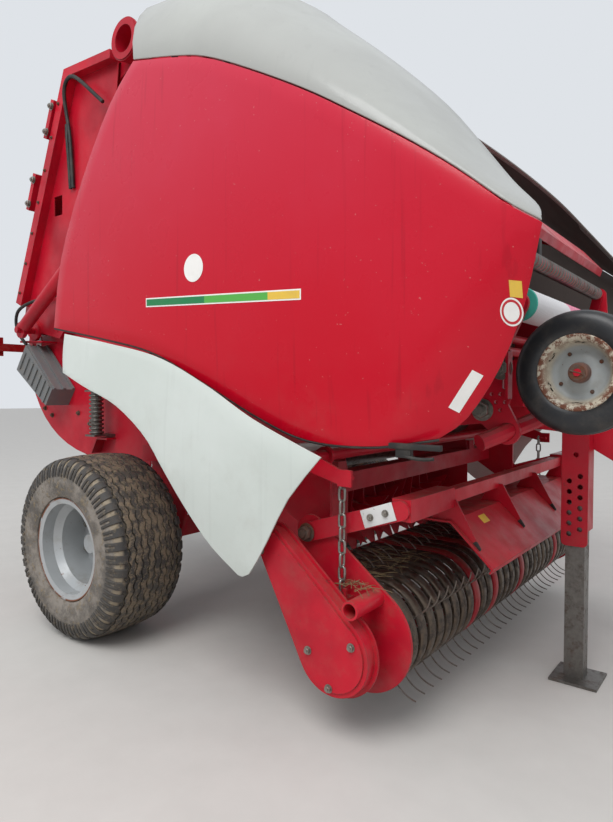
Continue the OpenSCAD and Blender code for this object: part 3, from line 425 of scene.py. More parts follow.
def painted_steel(name, colour, dust=0.35, wear=True, rough=0.42):
    """Sprayed enamel on steel: even colour, dulled in patches of 0.3 m, chipped edges and settled dust.

    Stone chips of 2 mm are drawn at 7 mm and the spray's orange peel of 1 mm at 4.5 mm, so that they show.
    """
    material, tree, coords = start_material(name)
    base = over(tree, colour, darker(colour, 0.82), patches(tree, coords, 312.5, 0.32, 0.72))
    base = over(tree, base, "#3a2723", patches(tree, coords, 7.143, 0.66, 0.78, 0.5, detail=2))
    if wear:
        base = over(tree, base, "#4b3a33", worn_edges(tree, coords, 3))
    # Road dirt in patches of 0.1 m, thicker near the ground, and thrown mud in splashes of 60 mm
    low = by_height(tree, coords, 1300, 150, 0.12)
    dirt = patches(tree, coords, 111, 0.42, 0.78, dust * 0.7, detail=8, rough=0.7)
    base = over(tree, base, "#7d6f60", low, dirt)
    thrown = add(tree, "MapRange", {"Value": low, "From Min": 0.1, "From Max": 0.5},
                 **EASED).outputs["Result"]
    splashes = patches(tree, coords, 58.8, 0.645, 0.675, 0.85, detail=9, rough=0.8)
    base = over(tree, base, "#4a2a26", splashes, thrown)
    settled = patches(tree, coords, 90.9, 0.35, 0.68, dust + 0.3, 0.1, detail=7, rough=0.7)
    base = over(tree, base, "#7b5f52", facing_up(tree), settled)
    rolled_edge = add(tree, "Bevel", {"Radius": 0.0025}, samples=4).outputs[0]
    shade(tree, {"Base Color": base,
                 "Roughness": patches(tree, coords, 83.3, 0.3, 0.7, rough + 0.16, rough - 0.07, detail=5),
                 "Specular IOR Level": 0.25, "Coat Weight": 0.2, "Coat Roughness": 0.25,
                 "Normal": relief(tree, coords, 4.545, 0.4, 0.5, rolled_edge, detail=2)})
    return material


def moulded_grp(name, colour, faded, rough=0.3, run_share=0.05, painted_sky_reflection=None):
    """Gel coat over glass fibre: deep gloss with waves of 0.1 m from its mould, chalked in patches of 0.6 m.

    Rain has left runs 30 mm wide and 0.9 m long. The glass strands' print of 1 mm is drawn at 2.5 mm. A sky
    colour paints the sky's reflection paler over the upper part.
    """
    material, tree, coords = start_material(name)
    chalk = patches(tree, coords, 625, 0.38, 0.72, detail=6, rough=0.6)
    base = over(tree, colour, faded, chalk)
    # Painted reflection of the bright sky on the gloss: a paler, pinker colour towards the top, in patches
    if painted_sky_reflection:
        uneven = add(tree, "MapRange", {"Value": chalk, "To Min": 0.75}, **EASED).outputs["Result"]
        base = over(tree, base, painted_sky_reflection, by_height(tree, coords, 1250, 2550), uneven)
    drawn_down = add(tree, "Mapping", {"Vector": coords, "Scale": (34, 34, 1.1)}).outputs[0]
    runs = patches(tree, drawn_down, 1000, 0.60, 0.72, run_share, detail=3, rough=0.5)
    base = over(tree, base, darker(colour, 0.62), runs)
    base = over(tree, base, "#d9cfc4", patches(tree, coords, 13.33, 0.72, 0.77, 0.2, detail=2))
    dirt = patches(tree, coords, 143, 0.45, 0.8, 0.16, detail=8, rough=0.7)
    base = over(tree, base, "#8d8072", by_height(tree, coords, 1500, 600), dirt)
    wave = relief(tree, coords, 111, 3, 0.25, detail=1)
    shade(tree, {"Base Color": base,
                 "Roughness": patches(tree, coords, 167, 0.3, 0.7, rough + 0.14, rough - 0.06, detail=6),
                 "Specular IOR Level": 0.1, "Coat Weight": 0.38, "Coat Roughness": 0.16,
                 "Normal": relief(tree, coords, 2.5, 0.2, 0.35, wave, detail=1)})
    return material


def tyre_rubber(name, mud, ribbed=False):
    """Black carbon rubber, greyed by light, under a film of soil and clods of 26 mm, with grit of 4 mm.

    A ribbed tyre is paler on its side wall and caked on its ribs, and its grooves are drawn darker as painted
    shade.
    """
    material, tree, coords = start_material(name)
    base = mottled(tree, coords, 71.4, "#2c2b2b", "#45423f")
    clods = patches(tree, coords, 26.32, 0.52, 0.63, mud, detail=9, rough=0.75)
    base = over(tree, base, "#6f665b", patches(tree, coords, 200, 0.30, 0.75, mud * 0.6, detail=6, rough=0.7))
    if ribbed:
        blotches = patches(tree, coords, 111, 0.38, 0.60, 0.95, 0.2, detail=8, rough=0.72)
        base = over(tree, base, "#8c847b", ring(tree, coords, (412, 390)), blotches)
        base = over(tree, base, "#9a8c76", ring(tree, coords, (375, 392), (413.5, 405), most=0.8))
        caked = patches(tree, coords, 41.67, 0.47, 0.56, 0.8, detail=9, rough=0.78)
        base = over(tree, base, "#857560", caked, ring(tree, coords, (412, 416.5)))
        # Painted shade: groove floors drawn darker than the rubber itself
        base = over(tree, base, "#191817", ring(tree, coords, (419.5, 416.5), (410, 412.5), most=0.75))
    base = over(tree, base, "#93836a", clods)
    grit = relief(tree, coords, 3.846, 1.5, 0.7, detail=6, rough=0.7)
    lumps = add(tree, "Bump", {"Height": clods, "Distance": 0.003, "Strength": 0.8, "Normal": grit})
    shade(tree, {"Base Color": base, "Roughness": [clods, 0.62, 0.95], "Normal": lumps.outputs[0]})
    return material


def wheel_enamel(name, colour):
    """Silver enamel inside a wheel: soft shine, with a rusty ring at the bead and rust specks of 28 mm."""
    material, tree, coords = start_material(name)
    base = mottled(tree, coords, 200, colour, darker(colour, 0.86))
    base = over(tree, base, "#857c70", patches(tree, coords, 125, 0.48, 0.72, 0.5, detail=7, rough=0.7))
    bead = add(tree, "Math",
               {0: ring(tree, coords, (228.5, 234.5)), 1: patches(tree, coords, 41.67, 0.3, 0.5)},
               operation="MULTIPLY").outputs[0]
    specks = patches(tree, coords, 27.78, 0.66, 0.71, 0.9, rough=0.7)
    rusty = add(tree, "Math", {0: bead, 1: specks}, operation="MAXIMUM").outputs[0]
    shade(tree, {"Base Color": over(tree, base, "#7a4a30", rusty), "Roughness": [rusty, 0.36, 0.85],
                 "Metallic": 0.25, "Normal": relief(tree, coords, 5.56, 0.3, 0.4, detail=3)})
    return material


def gauge_enamel(name):
    """Pale enamel on a pressed wheel: cream and flaking to rust at its edge, greyer and whole in its dish."""
    material, tree, coords = start_material(name)
    hub = (GAUGE[0], GAUGE[2])
    base = over(tree, "#a3a8a8", "#c9c0ac", ring(tree, coords, (82, 98), hub=hub))
    base = over(tree, base, "#8d8070", patches(tree, coords, 50, 0.45, 0.75, 0.4, detail=7, rough=0.7))
    edge_rust = add(tree, "Math",
                    {0: ring(tree, coords, (88, 112), hub=hub),
                     1: patches(tree, coords, 23.81, 0.43, 0.53, detail=8, rough=0.75)},
                    operation="MULTIPLY").outputs[0]
    rusty = patches(tree, coords, 23.81, 0.62, 0.68, detail=8, rough=0.75)
    for other in (edge_rust, ring(tree, coords, (36, 31), most=0.9, hub=hub)):
        rusty = add(tree, "Math", {0: rusty, 1: other}, operation="MAXIMUM").outputs[0]
    shade(tree, {"Base Color": over(tree, base, "#704432", rusty), "Roughness": [rusty, 0.4, 0.9],
                 "Normal": relief(tree, coords, 23.81, 0.6, 0.5, detail=8, rough=0.75)})
    return material


def knitted_net(name):
    """Wound net of white polyethylene thread with a pink warning stretch.

    Its threads lie 3 mm apart and are drawn as ridges 13 mm apart, so that they show.
    """
    material, tree, coords = start_material(name)
    # A wave texture has 20 radians to each unit of its scale
    threads = add(tree, "TexWave", {"Vector": coords, "Scale": math.tau / 20 / (13.09 * MM),
                                    "Distortion": 0.6, "Detail": 2.0, "Detail Scale": 3.0},
                  bands_direction="Y").outputs["Fac"]
    across = add(tree, "SeparateXYZ", {0: coords}).outputs["Y"]
    off = add(tree, "Math", {0: across}, operation="ABSOLUTE").outputs[0]
    middle = add(tree, "MapRange", {"Value": off, "From Min": 0.19, "From Max": 0.165},
                 **EASED).outputs["Result"]
    white, pink = over(tree, "#cfcdcc", "#ecebee", threads), over(tree, "#d9567c", "#f0a6bd", threads)
    ridges = add(tree, "Bump", {"Height": threads, "Distance": 0.0012, "Strength": 0.7})
    base = over(tree, white, pink, middle)
    shade(tree, {"Base Color": base, "Roughness": 0.55, "Normal": ridges.outputs[0]})
    return material


def bare_steel(name, colour, rust, rust_share, rough=0.38, metallic=0.85):
    """Steel without paint: dull grey shine where it is rubbed, brown rust in patches of 40 mm where it isn't.

    The rust's pitting of 1 mm is drawn at 3 mm.
    """
    material, tree, coords = start_material(name)
    start = 0.62 - 0.4 * rust_share
    rusty = patches(tree, coords, 38.46, start, start + 0.24, detail=8, rough=0.72)
    base = over(tree, mottled(tree, coords, 14.29, colour, darker(colour, 0.7)), rust, rusty)
    shade(tree, {"Base Color": base, "Metallic": [rusty, metallic, 0.05], "Roughness": [rusty, rough, 0.9],
                 "Normal": relief(tree, coords, 3.333, 0.6, 0.6, detail=5, rough=0.7)})
    return material


def plain_rubber(name, colour, rough=0.6, dust=0.3):
    """Moulded rubber: nearly black and matt, a grain of 3 mm, and pale dust in patches of 55 mm."""
    material, tree, coords = start_material(name)
    film = patches(tree, coords, 55.56, 0.40, 0.8, dust, detail=7, rough=0.7)
    shade(tree, {"Base Color": over(tree, colour, "#6c6256", film), "Roughness": [film, rough, 0.92],
                 "Normal": relief(tree, coords, 2.857, 0.4, 0.5, detail=3)})
    return material


def moulded_plastic(name, colour, rough=0.45, dust=0.15):
    """Injection moulded plastic: even colour, an eroded grain of 2 mm, and a little dust in it."""
    material, tree, coords = start_material(name)
    film = patches(tree, coords, 45.45, 0.40, 0.8, dust, detail=6, rough=0.7)
    shade(tree, {"Base Color": over(tree, colour, "#81776a", film),
                 "Roughness": patches(tree, coords, 33.3, 0.3, 0.7, rough + 0.12, rough - 0.06),
                 "Normal": relief(tree, coords, 2, 0.3, 0.4, detail=2)})
    return material


RED_ENAMEL = painted_steel("red_enamel_on_steel", "#c40c28")
RED_DULL = painted_steel("red_enamel_dusty", "#ab1426", dust=0.75)
# Its last colour is a painted reflection of the sky over the cover's upper part
RED_GRP = moulded_grp("red_gel_coat", "#bf001f", "#c00824", run_share=0.2, painted_sky_reflection="#c2304a")
GREY_GRP = moulded_grp("pale_grey_gel_coat", "#a5a6a2", "#aeb0ab", rough=0.42)
PALE_PLASTIC = moulded_grp("pale_rotomoulded_polyethylene", "#c8cfc9", "#d0d6d1", rough=0.4)
SHADE_GRP = moulded_grp("unpainted_glass_fibre", "#5c5754", "#6b6561", rough=0.7)
MUDDY_RUBBER = tyre_rubber("muddy_tyre_rubber", 0.75, ribbed=True)
LUG_RUBBER = tyre_rubber("scrubbed_lug_rubber", 0.35)
GREY_RUBBER = plain_rubber("smooth_gauge_rubber", "#202124", rough=0.38, dust=0.3)
SILVER_PAINT = wheel_enamel("silver_wheel_enamel", "#b9bcbd")
CREAM_PAINT = gauge_enamel("rusty_cream_wheel_enamel")
BAND_STEEL = bare_steel("crop_rubbed_steel", "#6f6154", "#2b2420", 0.5, rough=0.32)
TINE_STEEL = bare_steel("rusted_spring_steel", "#8a8078", "#594338", 0.45, rough=0.42)
ROLLER_STEEL = bare_steel("rolled_steel_tube", "#85817c", "#4d3c31", 0.35, rough=0.4)
CHAIN_ZINC = bare_steel("zinc_plated_chain", "#a39f99", "#7c4f31", 0.25, rough=0.35)
BOLT_ZINC = bare_steel("zinc_plated_bolts", "#a8a49c", "#6b4a36", 0.2, rough=0.36)
CHROME = bare_steel("hard_chromed_rod", "#c4c4c4", "#8f877c", 0.0, rough=0.16, metallic=1.0)
BELT_RUBBER = plain_rubber("crop_polished_belting", "#26221f", rough=0.45, dust=0.5)
HOSE_RUBBER = plain_rubber("hydraulic_hose_cover", "#171717", rough=0.5, dust=0.35)
SEAL_RUBBER = plain_rubber("edge_seal_rubber", "#1f1d1c", rough=0.6, dust=0.4)
CHOCK_PLASTIC = moulded_plastic("grey_recycled_plastic", "#6f7172", rough=0.6, dust=0.5)
LENS_RED = moulded_plastic("red_lamp_acrylic", "#8f0d12", rough=0.15, dust=0.25)
NET_PLASTIC = knitted_net("knitted_polyethylene_net")
RUSTY_STEEL = bare_steel("rusted_mild_steel", "#7c6f66", "#6b3f28", 0.6, rough=0.55, metallic=0.6)
BAND_RED_PAINT = painted_steel("red_enamel_on_band", "#a31524", dust=0.6)
WHITE_PLATE = painted_steel("white_plate_enamel", "#e4e4e2", dust=0.3, wear=False)
WHITE_FOIL = moulded_plastic("white_vinyl_foil", "#eeece8", rough=0.35, dust=0.1)
RED_FOIL = moulded_plastic("red_vinyl_foil", "#c21f2c", rough=0.35, dust=0.1)
YELLOW_FOIL = moulded_plastic("yellow_vinyl_foil", "#e3bb45", rough=0.35, dust=0.2)
DARK_GREEN_FOIL = moulded_plastic("dark_green_vinyl_foil", "#0f7a44", rough=0.35, dust=0.1)
LIGHT_GREEN_FOIL = moulded_plastic("light_green_vinyl_foil", "#52a944", rough=0.35, dust=0.1)
TEAL_PLASTIC = moulded_plastic("teal_net_wrapping", "#3fae9c", rough=0.4, dust=0.1)
LENS_AMBER = moulded_plastic("amber_lamp_acrylic", "#b8600f", rough=0.15, dust=0.25)
DRY_STRAW = moulded_plastic("dry_straw", "#7f6c4a", rough=0.8, dust=0.5)


def both(*names):
    """Nodes of these names on the right and on the left."""
    return [f"{name}_{word}" for name in names for _, word in SIDES]


NODE_FINISH = {
    RED_ENAMEL: ["chassis", "front_frame", "front_hood", "gearbox", "drawbar", "stand_channel",
                 "tailgate_frame", "pickup_frame", "windguard", "gauge_wheel_arms", "feed_rotor",
                 *both("chamber_side", "ram_barrel")],
    GREY_RUBBER: both("gauge_wheel"),
    MUDDY_RUBBER: both("tyre"),
    SILVER_PAINT: both("rim"),
    BAND_STEEL: ["stripper_bands"],
    TINE_STEEL: ["pickup_reel"],
    ROLLER_STEEL: ["front_rollers", "tailgate_rollers", "lock_springs", "hitch_eye", "stand_leg"],
    CHAIN_ZINC: ["lift_chain"],
    CHROME: both("ram_rod"),
    BELT_RUBBER: ["front_belts", "tailgate_belts"],
    HOSE_RUBBER: ["hydraulic_hoses"],
    CHOCK_PLASTIC: ["wheel_chock"],
    LENS_RED: ["rear_lamps"],
    NET_PLASTIC: ["net_roll"],
    SHADE_GRP: both("cover_frame"),
    RED_GRP: both("cover"),
    GREY_GRP: both("cover_band"),
    PALE_PLASTIC: both("fender"),
}


def dress_nodes():
    """Gives every CAD node that stays its finish."""
    for material, nodes in NODE_FINISH.items():
        for node in nodes:
            mesh = frame["nodes"][node].data
            mesh.materials.clear()
            mesh.materials.append(material)


dress_nodes()


# Skins of the covers, bands and fenders

def two_faced(obj, outer, inner, side):
    """Gives the faces that look outwards one finish and those that look inwards another."""
    obj.data.materials.clear()
    obj.data.materials.append(outer)
    obj.data.materials.append(inner)
    for face in obj.data.polygons:
        face.material_index = 1 if face.normal.y * side < -0.15 else 0


def skin(node, name, outer, inner, body, side, rounding):
    """Smooth skin over a faceted shell, with rounded edges."""
    obj = merged_copy(node, name)
    bevelled(obj, rounding, 2, 50)
    two_faced(obj, outer, inner, side)
    return finished(obj, name, None, body, 34, [node])


for side, word in SIDES:
    skin(f"cover_{word}", f"cover_skin_{word}", RED_GRP, SHADE_GRP, f"cover_{word}", side, 0.0022)
    skin(f"cover_band_{word}", f"cover_band_skin_{word}", GREY_GRP, SHADE_GRP, f"cover_{word}", side, 0.0022)
    skin(f"fender_{word}", f"fender_skin_{word}", PALE_PLASTIC, PALE_PLASTIC, "root", side, 0.0018)


# Form of the side covers, as the source draws it: lower edge, and distance of the panel from the middle
COVER_LOW = [(-127, 1453), (248, 1386), (588, 1313), (879, 1190), (1132, 1073), (1354, 996), (1600, 985),
             (1800, 1015)]


def cover_out(x, z):
    """Distance of a cover's outer face from the middle."""
    ahead = 0.871 * (x - 1720) - 0.491 * (z - 1040)
    return (1150 - 30 * max(0, (z - 1800) / 700) ** 2 - 30 * max(0, (x - 1200) / 700) ** 2
            - 20 * max(0, (1500 - z) / 500) ** 2 - 0.29 * (ahead + math.sqrt(ahead * ahead + 1800)))


def smooth_line(rows, steps):
    """Points on a smooth curve through all rows of a table."""
    count = len(rows) - 1
    line = []
    for k in range(steps + 1):
        s = min(k / steps * count, count - 0.0001)
        i = int(s)
        f = s - i
        a, b, c, d = (Vector(rows[max(0, min(count, i + j))]) for j in (-1, 0, 1, 2))
        line.append(0.5 * (2 * b + (c - a) * f + (2 * a - 5 * b + 4 * c - d) * f * f
                           + (3 * b - a - 3 * c + d) * f ** 3))
    return line


def on_cover(obj, lift):
    """Lays a flat piece, drawn in x and z, on the right cover's outer face, lifted off it in millimetres."""
    for vert in obj.data.vertices:
        x, z = (vert.co.x - AXLE.x) / MM, vert.co.z / MM
        vert.co.y = -(cover_out(x, z) + lift) * MM


def sign(name, low, high, material, lean, lift):
    """Thin sign on the right cover between two corners in x and z, sunk by lean at its front end."""
    a, b = place(low[0], 0, low[1]), place(high[0], 0, high[1])
    unselect()
    bpy.ops.mesh.primitive_grid_add(x_subdivisions=10, y_subdivisions=6, size=1, location=(a + b) / 2,
                                    rotation=(math.radians(90), 0, 0))
    obj = bpy.context.object
    obj.scale = (b.x - a.x, b.z - a.z, 1)
    apply_all(obj)
    for vert in obj.data.vertices:
        vert.co.z -= lean * MM * (vert.co.x - a.x) / (b.x - a.x)
    on_cover(obj, lift)
    return finished(walled(obj, 0.4, 0), name, material, "cover_right", 40)


def round_sign(name, x, z, radius, material, lift, narrow=1.0):
    """Thin round sign on the right cover, narrower along x where the cover turns away."""
    unselect()
    bpy.ops.mesh.primitive_circle_add(vertices=40, radius=radius * MM, fill_type="TRIFAN",
                                      location=place(x, 0, z), rotation=(math.radians(90), 0, 0))
    obj = bpy.context.object
    obj.scale.x = narrow
    apply_all(obj)
    on_cover(obj, lift)
    return finished(obj, name, material, "cover_right", 40)


# Main tyres: a carcass with zigzag ribs, and lugs over its shoulders

PITCHES = 44
GROOVE_DEPTH = 9
GROOVE_PITCH = 33
GROOVES = [GROOVE_PITCH * k for k in range(-4, 5)]
# Half of a groove's width at the tread and at its floor, and how far its zigzag swings out
GROOVE_TOP, GROOVE_FLOOR, ZIGZAG = 4.5, 2.5, 4.5
# Side of the carcass from its bead to its shoulder, as radius and distance from the middle
MAIN_WALL = [(216, 165), (240, 166), (243, 182), (262, 190), (310, 194), (352, 191), (380, 183), (398, 172),
             (410, 156)]
# Lug over a shoulder and its two bars down the side, as radius and distance from the middle
LUG = [(402, 139), (418, 139), (417, 151), (411, 165), (401, 177), (390, 184), (388, 176), (398, 166)]
LUG_BAR = [(404, 174), (390, 185), (368, 194), (345, 197.5), (336, 194), (345, 189), (372, 181), (394, 168)]


def tread_radius(y):
    """Radius of the main tread at a distance from its middle."""
    half_tread, drop = 141, 9
    return TREAD_R - drop * (abs(y) / half_tread) ** 3


def carcass():
    """Carcass about the Z axis, four steps to a pitch, its ribs moved sideways in turn to a zigzag."""
    profile = list(MAIN_WALL)
    for y in reversed(GROOVES):
        floor = tread_radius(y) - GROOVE_DEPTH
        near, far, rib = y + GROOVE_TOP, y - GROOVE_TOP, y - GROOVE_PITCH / 2
        profile += [(tread_radius(near), near), (floor, y + GROOVE_FLOOR), (floor, y - GROOVE_FLOOR),
                    (tread_radius(far), far)]
        if y > GROOVES[0]:
            profile.append((tread_radius(rib) + 0.8, rib))
    profile += [(r, -y) for r, y in reversed(MAIN_WALL)]
    steps = PITCHES * 4
    obj = turned(profile, steps)
    edit(obj)
    # Only the tread swings out, not the side walls and beads
    for phase, shift in (((0, 1), ZIGZAG), ((2, 3), -ZIGZAG)):
        choose(obj, lambda co: abs(co.z) < 0.145 and math.hypot(co.x, co.y) > 0.4
               and round(math.atan2(co.y, co.x) / math.tau * steps) % 4 in phase)
        bpy.ops.transform.translate(value=(0, 0, shift * MM))
    bpy.ops.object.mode_set(mode="OBJECT")
    return obj


def shoulder_lug():
    """One lug in the plane of the X and Z axes, with two bars that run down the side wall."""
    parts = []
    for outline, width, start in ((LUG, 37, -18.5), (LUG_BAR, 13, -17.5), (LUG_BAR, 13, 5)):
        part = plate(outline, width)
        part.location.y = start * MM
        parts.append(part)
    return bevelled(join(parts), 2.2 * MM, 1, 35)


def wheel_circle(count, radius, first):
    """Places along x and z of count bolts round a wheel's hub, the first one at an angle in degrees."""
    turns = [math.radians(360 / count * k + first) for k in range(count)]
    return [(radius * math.cos(turn), radius * math.sin(turn)) for turn in turns]


for side, word in SIDES:
    lug_places = []
    for k in range(PITCHES):
        turn = Matrix.Rotation(math.tau * (k + 0.25) / PITCHES, 4, "Z")
        lug_places += [turn, turn @ Matrix.Rotation(math.pi, 4, "X")]
    tyre = ring_about_y(carcass(), 0, side * TYRE_MIDDLE, TREAD_R)
    finished(tyre, f"main_tyre_{word}", MUDDY_RUBBER, f"wheel_{word}", 30, [f"tyre_{word}"])
    lugs = ring_about_y(repeat(shoulder_lug(), lug_places), 0, side * TYRE_MIDDLE, TREAD_R)
    finished(lugs, f"tyre_lugs_{word}", LUG_RUBBER, f"wheel_{word}", 30, [f"tyre_{word}"])
    nuts = [((x, side * 966, TREAD_R + z), (0, side, 0)) for x, z in wheel_circle(8, 160, 22)]
    bolts(f"wheel_nuts_{word}", nuts, BOLT_ZINC, f"wheel_{word}", 20)
    valve = tube([place(30, side * 1075, TREAD_R + 186), place(31, side * 1090, TREAD_R + 176),
                  place(32, side * 1120, TREAD_R + 170)], 0.011, 10)
    finished(valve, f"tyre_valve_{word}", RUSTY_STEEL, f"wheel_{word}", 50)


# Gauge wheels: a smooth tyre with three ribs on a dished rim, its hub, washer and split pin

# Half sections of tyre, tread, pressed rim and hub, as radius and distance from the wheel's middle
GAUGE_TYRE = [(100, 30), (113, 33), (118, 42), (134, 48.5), (152, 50), (170, 48.5), (184, 43), (192, 35),
              (195.5, 29)]
GAUGE_TREAD = [(198, 20), (191, 18), (191, 15), (199.3, 13), (200, 0)]
GAUGE_RIM = [(100, -34), (112, -38), (114, -32), (106, -31), (98, -14), (98, 14), (106, 31), (115, 35),
             (122, 38), (123, 42), (119, 44.5), (110, 43), (104, 38), (100, 27), (98, 14), (94, 2), (88, -8),
             (78, -13), (66, -14), (58, -10), (48, -7), (38, -6), (30, -5)]
GAUGE_HUB = [(12.8, -28), (30, -28), (32, -25), (32, 22), (29, 30), (22, 34), (12.8, 34)]


def gauge_wheel(side, word):
    """One stowed gauge wheel."""
    x, y, z = GAUGE
    half = GAUGE_TYRE + GAUGE_TREAD
    other = [(r, -w) for r, w in reversed(half)]
    tyre = ring_about_y(turned(half + other[1:], 96), x, side * y, z)
    finished(tyre, f"gauge_tyre_{word}", GREY_RUBBER, f"gauge_wheel_{word}", 40, [f"gauge_wheel_{word}"])
    dish = walled(turned(GAUGE_RIM, 72), 3, 0)
    rim = join([ring_about_y(dish, x, side * y, z), ring_about_y(turned(GAUGE_HUB, 40), x, side * y, z)])
    finished(rim, f"gauge_rim_{word}", CREAM_PAINT, f"gauge_wheel_{word}", 35, [f"gauge_wheel_{word}"])
    studs = [((x + dx, side * (y - 13), z + dz), (0, side, 0)) for dx, dz in wheel_circle(4, 70, 30)]
    bolts(f"gauge_bolts_{word}", studs, RUSTY_STEEL, f"gauge_wheel_{word}", 6)
    washer = ring_about_y(turned([(12.8, 34.5), (25, 34.5), (25, 38), (12.8, 38)], 32), x, side * y, z)
    pin = tube([place(x - 22, side * (y + 39.5), z + 6), place(x, side * (y + 39.5), z + 1),
                place(x + 20, side * (y + 39), z - 6), place(x + 24, side * (y + 36), z - 14)], 0.005, 8)
    finished(join([washer, pin]), f"gauge_pin_{word}", RUSTY_STEEL, "root", 40)


for side, word in SIDES:
    gauge_wheel(side, word)


# Pickup: crowned stripper bands, reel with its tines, straw and chains

REEL = (1505, 335)
BAND_R = 175
BAND_PITCH = 66
BAND_COUNT = 30
# Half section of a band, as distance from its middle and height under its crown
BAND_CROWN = [(23, 13), (22, 6), (17.5, 2), (9, 0.5), (0, 0)]
BAND_RED = (8, 11, 16, 24)
TINE_BARS = 4
REEL_TURN = 62


def one_band():
    """Band round the reel at y = 0: a crowned section spun round the front half, then drawn back."""
    half = [(-y, BAND_R - drop) for y, drop in BAND_CROWN]
    section = half + [(-y, r) for y, r in reversed(half[:-1])]
    x, z = REEL
    middle = place(x, 0, z)
    obj = chain_of_points([place(x, y, z + r) for y, r in section])
    bpy.ops.mesh.spin(steps=22, angle=-math.pi, center=middle, axis=(0, 1, 0))
    for end, back in ((1, (-0.277, 0, 0)), (-1, (-0.232, 0, 0.028))):
        choose(obj, lambda co: end * (co.z - middle.z) > 0 and abs(co.x - middle.x) < 0.0005)
        bpy.ops.mesh.extrude_edges_move(TRANSFORM_OT_translate={"value": back})
    bpy.ops.mesh.select_all(action="SELECT")
    bpy.ops.mesh.normals_make_consistent(inside=False)
    bpy.ops.object.mode_set(mode="OBJECT")
    return walled(obj, 2.5, -1)


def gap_place(k):
    """Place along y of the gap between bands k and k + 1, where tines run."""
    return (k - (BAND_COUNT - 2) / 2) * BAND_PITCH


steel_bands, red_bands = [], []
for k in range(BAND_COUNT):
    (red_bands if k in BAND_RED else steel_bands).append(
        Matrix.Translation((0, (gap_place(k) - BAND_PITCH / 2) * MM, 0)))
finished(repeat(one_band(), steel_bands), "bands", BAND_STEEL, "pickup", 40, ["stripper_bands"])
finished(repeat(one_band(), red_bands), "painted_bands", BAND_RED_PAINT, "pickup", 40, ["stripper_bands"])
rails = join([block((1219, -1000, 480), (1227, 1000, 507), 1),
              block((1264, -1000, 191), (1272, 1000, 222), 1)])
finished(rails, "band_rails", RED_DULL, "pickup", 40, ["stripper_bands"])


def reel_tine():
    """Spring tine that leaves its bar outwards and trails back towards its tip, in the plane y = 0."""
    rows = [(100, 0), (132, -6), (168, -7), (200, -2), (226, 9), (246, 25), (258, 41)]
    return tube([(a * MM, 0, b * MM) for a, b in rows], 0.0052, 8)


def reel_bar():
    """Tine bar, its place on the reel's discs along X."""
    rod = turned([(0.1, -990), (15, -990), (15, 990), (0.1, 990)], 16)
    rod.matrix_world = Matrix.Translation((0.105, 0, 0)) @ Matrix.Rotation(math.radians(90), 4, "X")
    return rod


reel_parts = []
for k in range(TINE_BARS):
    turn = Matrix.Rotation(math.radians(360 / TINE_BARS * k + REEL_TURN), 4, "Y")
    turn = Matrix.Translation(place(REEL[0], 0, REEL[1])) @ turn
    reel_parts.append(repeat(reel_bar(), [turn]))
    spots = [turn @ Matrix.Translation((0, gap_place(gap) * MM, 0)) for gap in range(BAND_COUNT - 1)]
    reel_parts.append(repeat(reel_tine(), spots))
core = turned([(0.1, -1008), (30, -1008), (30, 1008), (0.1, 1008)], 24)
reel_parts.append(ring_about_y(core, REEL[0], 0, REEL[1]))
for y in (-989, 0, 989):
    disc = turned([(28, -3), (123, -3), (125, -1), (125, 1), (123, 3), (28, 3)], 40)
    reel_parts.append(ring_about_y(disc, REEL[0], y, REEL[1]))
finished(join(reel_parts), "tined_reel", TINE_STEEL, "reel", 40, ["pickup_reel"])


def straw_heap(name, low, high, count, body, seed):
    """Loose bent straws that lie between two corners, longer along the machine's width."""
    chance = random.Random(seed)
    a, b = place(*low), place(*high)
    straws = []
    for _ in range(count):
        start = Vector([chance.uniform(a[i], b[i]) for i in range(3)])
        way = Vector((chance.uniform(-1, 1), chance.uniform(-1, 1), chance.uniform(-0.12, 0.16))).normalized()
        length = chance.uniform(0.02, 0.08)
        bend = Vector((0, 0, -length * chance.uniform(0.05, 0.2)))
        straws.append(tube([start, start + way * length / 2 - bend, start + way * length], 0.0019, 4))
    return finished(join(straws), name, DRY_STRAW, body, 60)


straw_heap("straw_on_bands", (1300, -985, 513), (1520, -560, 519), 90, "pickup", 3)
straw_heap("straw_on_socket", (1440, -1080, 512), (1560, -1004, 520), 40, "pickup", 5)


def chain_link():
    """Round wire link: a ring whose two halves are drawn apart."""
    unselect()
    bpy.ops.mesh.primitive_torus_add(major_radius=0.0115, minor_radius=0.0046, major_segments=20,
                                     minor_segments=8, rotation=(math.radians(90), 0, 0))
    obj = bpy.context.object
    apply_all(obj)
    edit(obj)
    for half in (-1, 1):
        choose(obj, lambda co: half * co.z > 0.0001)
        bpy.ops.transform.translate(value=(0, 0, half * 0.012))
    bpy.ops.object.mode_set(mode="OBJECT")
    return obj


link_places = []
for y in (-1052, 1052):
    for k in range(9):
        turn = Matrix.Rotation(math.radians(90 if k % 2 == 0 else 0), 4, "Z")
        link_places.append(Matrix.Translation(place(1452, y, 505 + 44 * k)) @ turn)
finished(repeat(chain_link(), link_places), "round_link_chain", CHAIN_ZINC, "pickup", 60, ["lift_chain"])

CASE_BOLTS = [(1548, 352), (1462, 196), (1172, 600), (1378, 300)]
bolts("case_bolts", [((x, -1142, z), (0, -1, 0)) for x, z in CASE_BOLTS], BOLT_ZINC, "pickup", 13)
bolts("pivot_nuts", mirrored([((1290, -1034, 660), (0, -1, 0))]), RUSTY_STEEL, "pickup", 30)


# Windguard: bare plate with two bolts on its arm, bare label, dark tips of its gussets

def arm_plate():
    """Small plate on the right arm, tilted as the arm is."""
    obj = plate([(-62, -30), (62, -30), (62, 30), (-62, 30)], 3, 0.8)
    lean = Matrix.Rotation(math.radians(-19.5), 4, "Y")
    obj.matrix_world = Matrix.Translation(place(1577, -1032, 755)) @ lean
    return obj


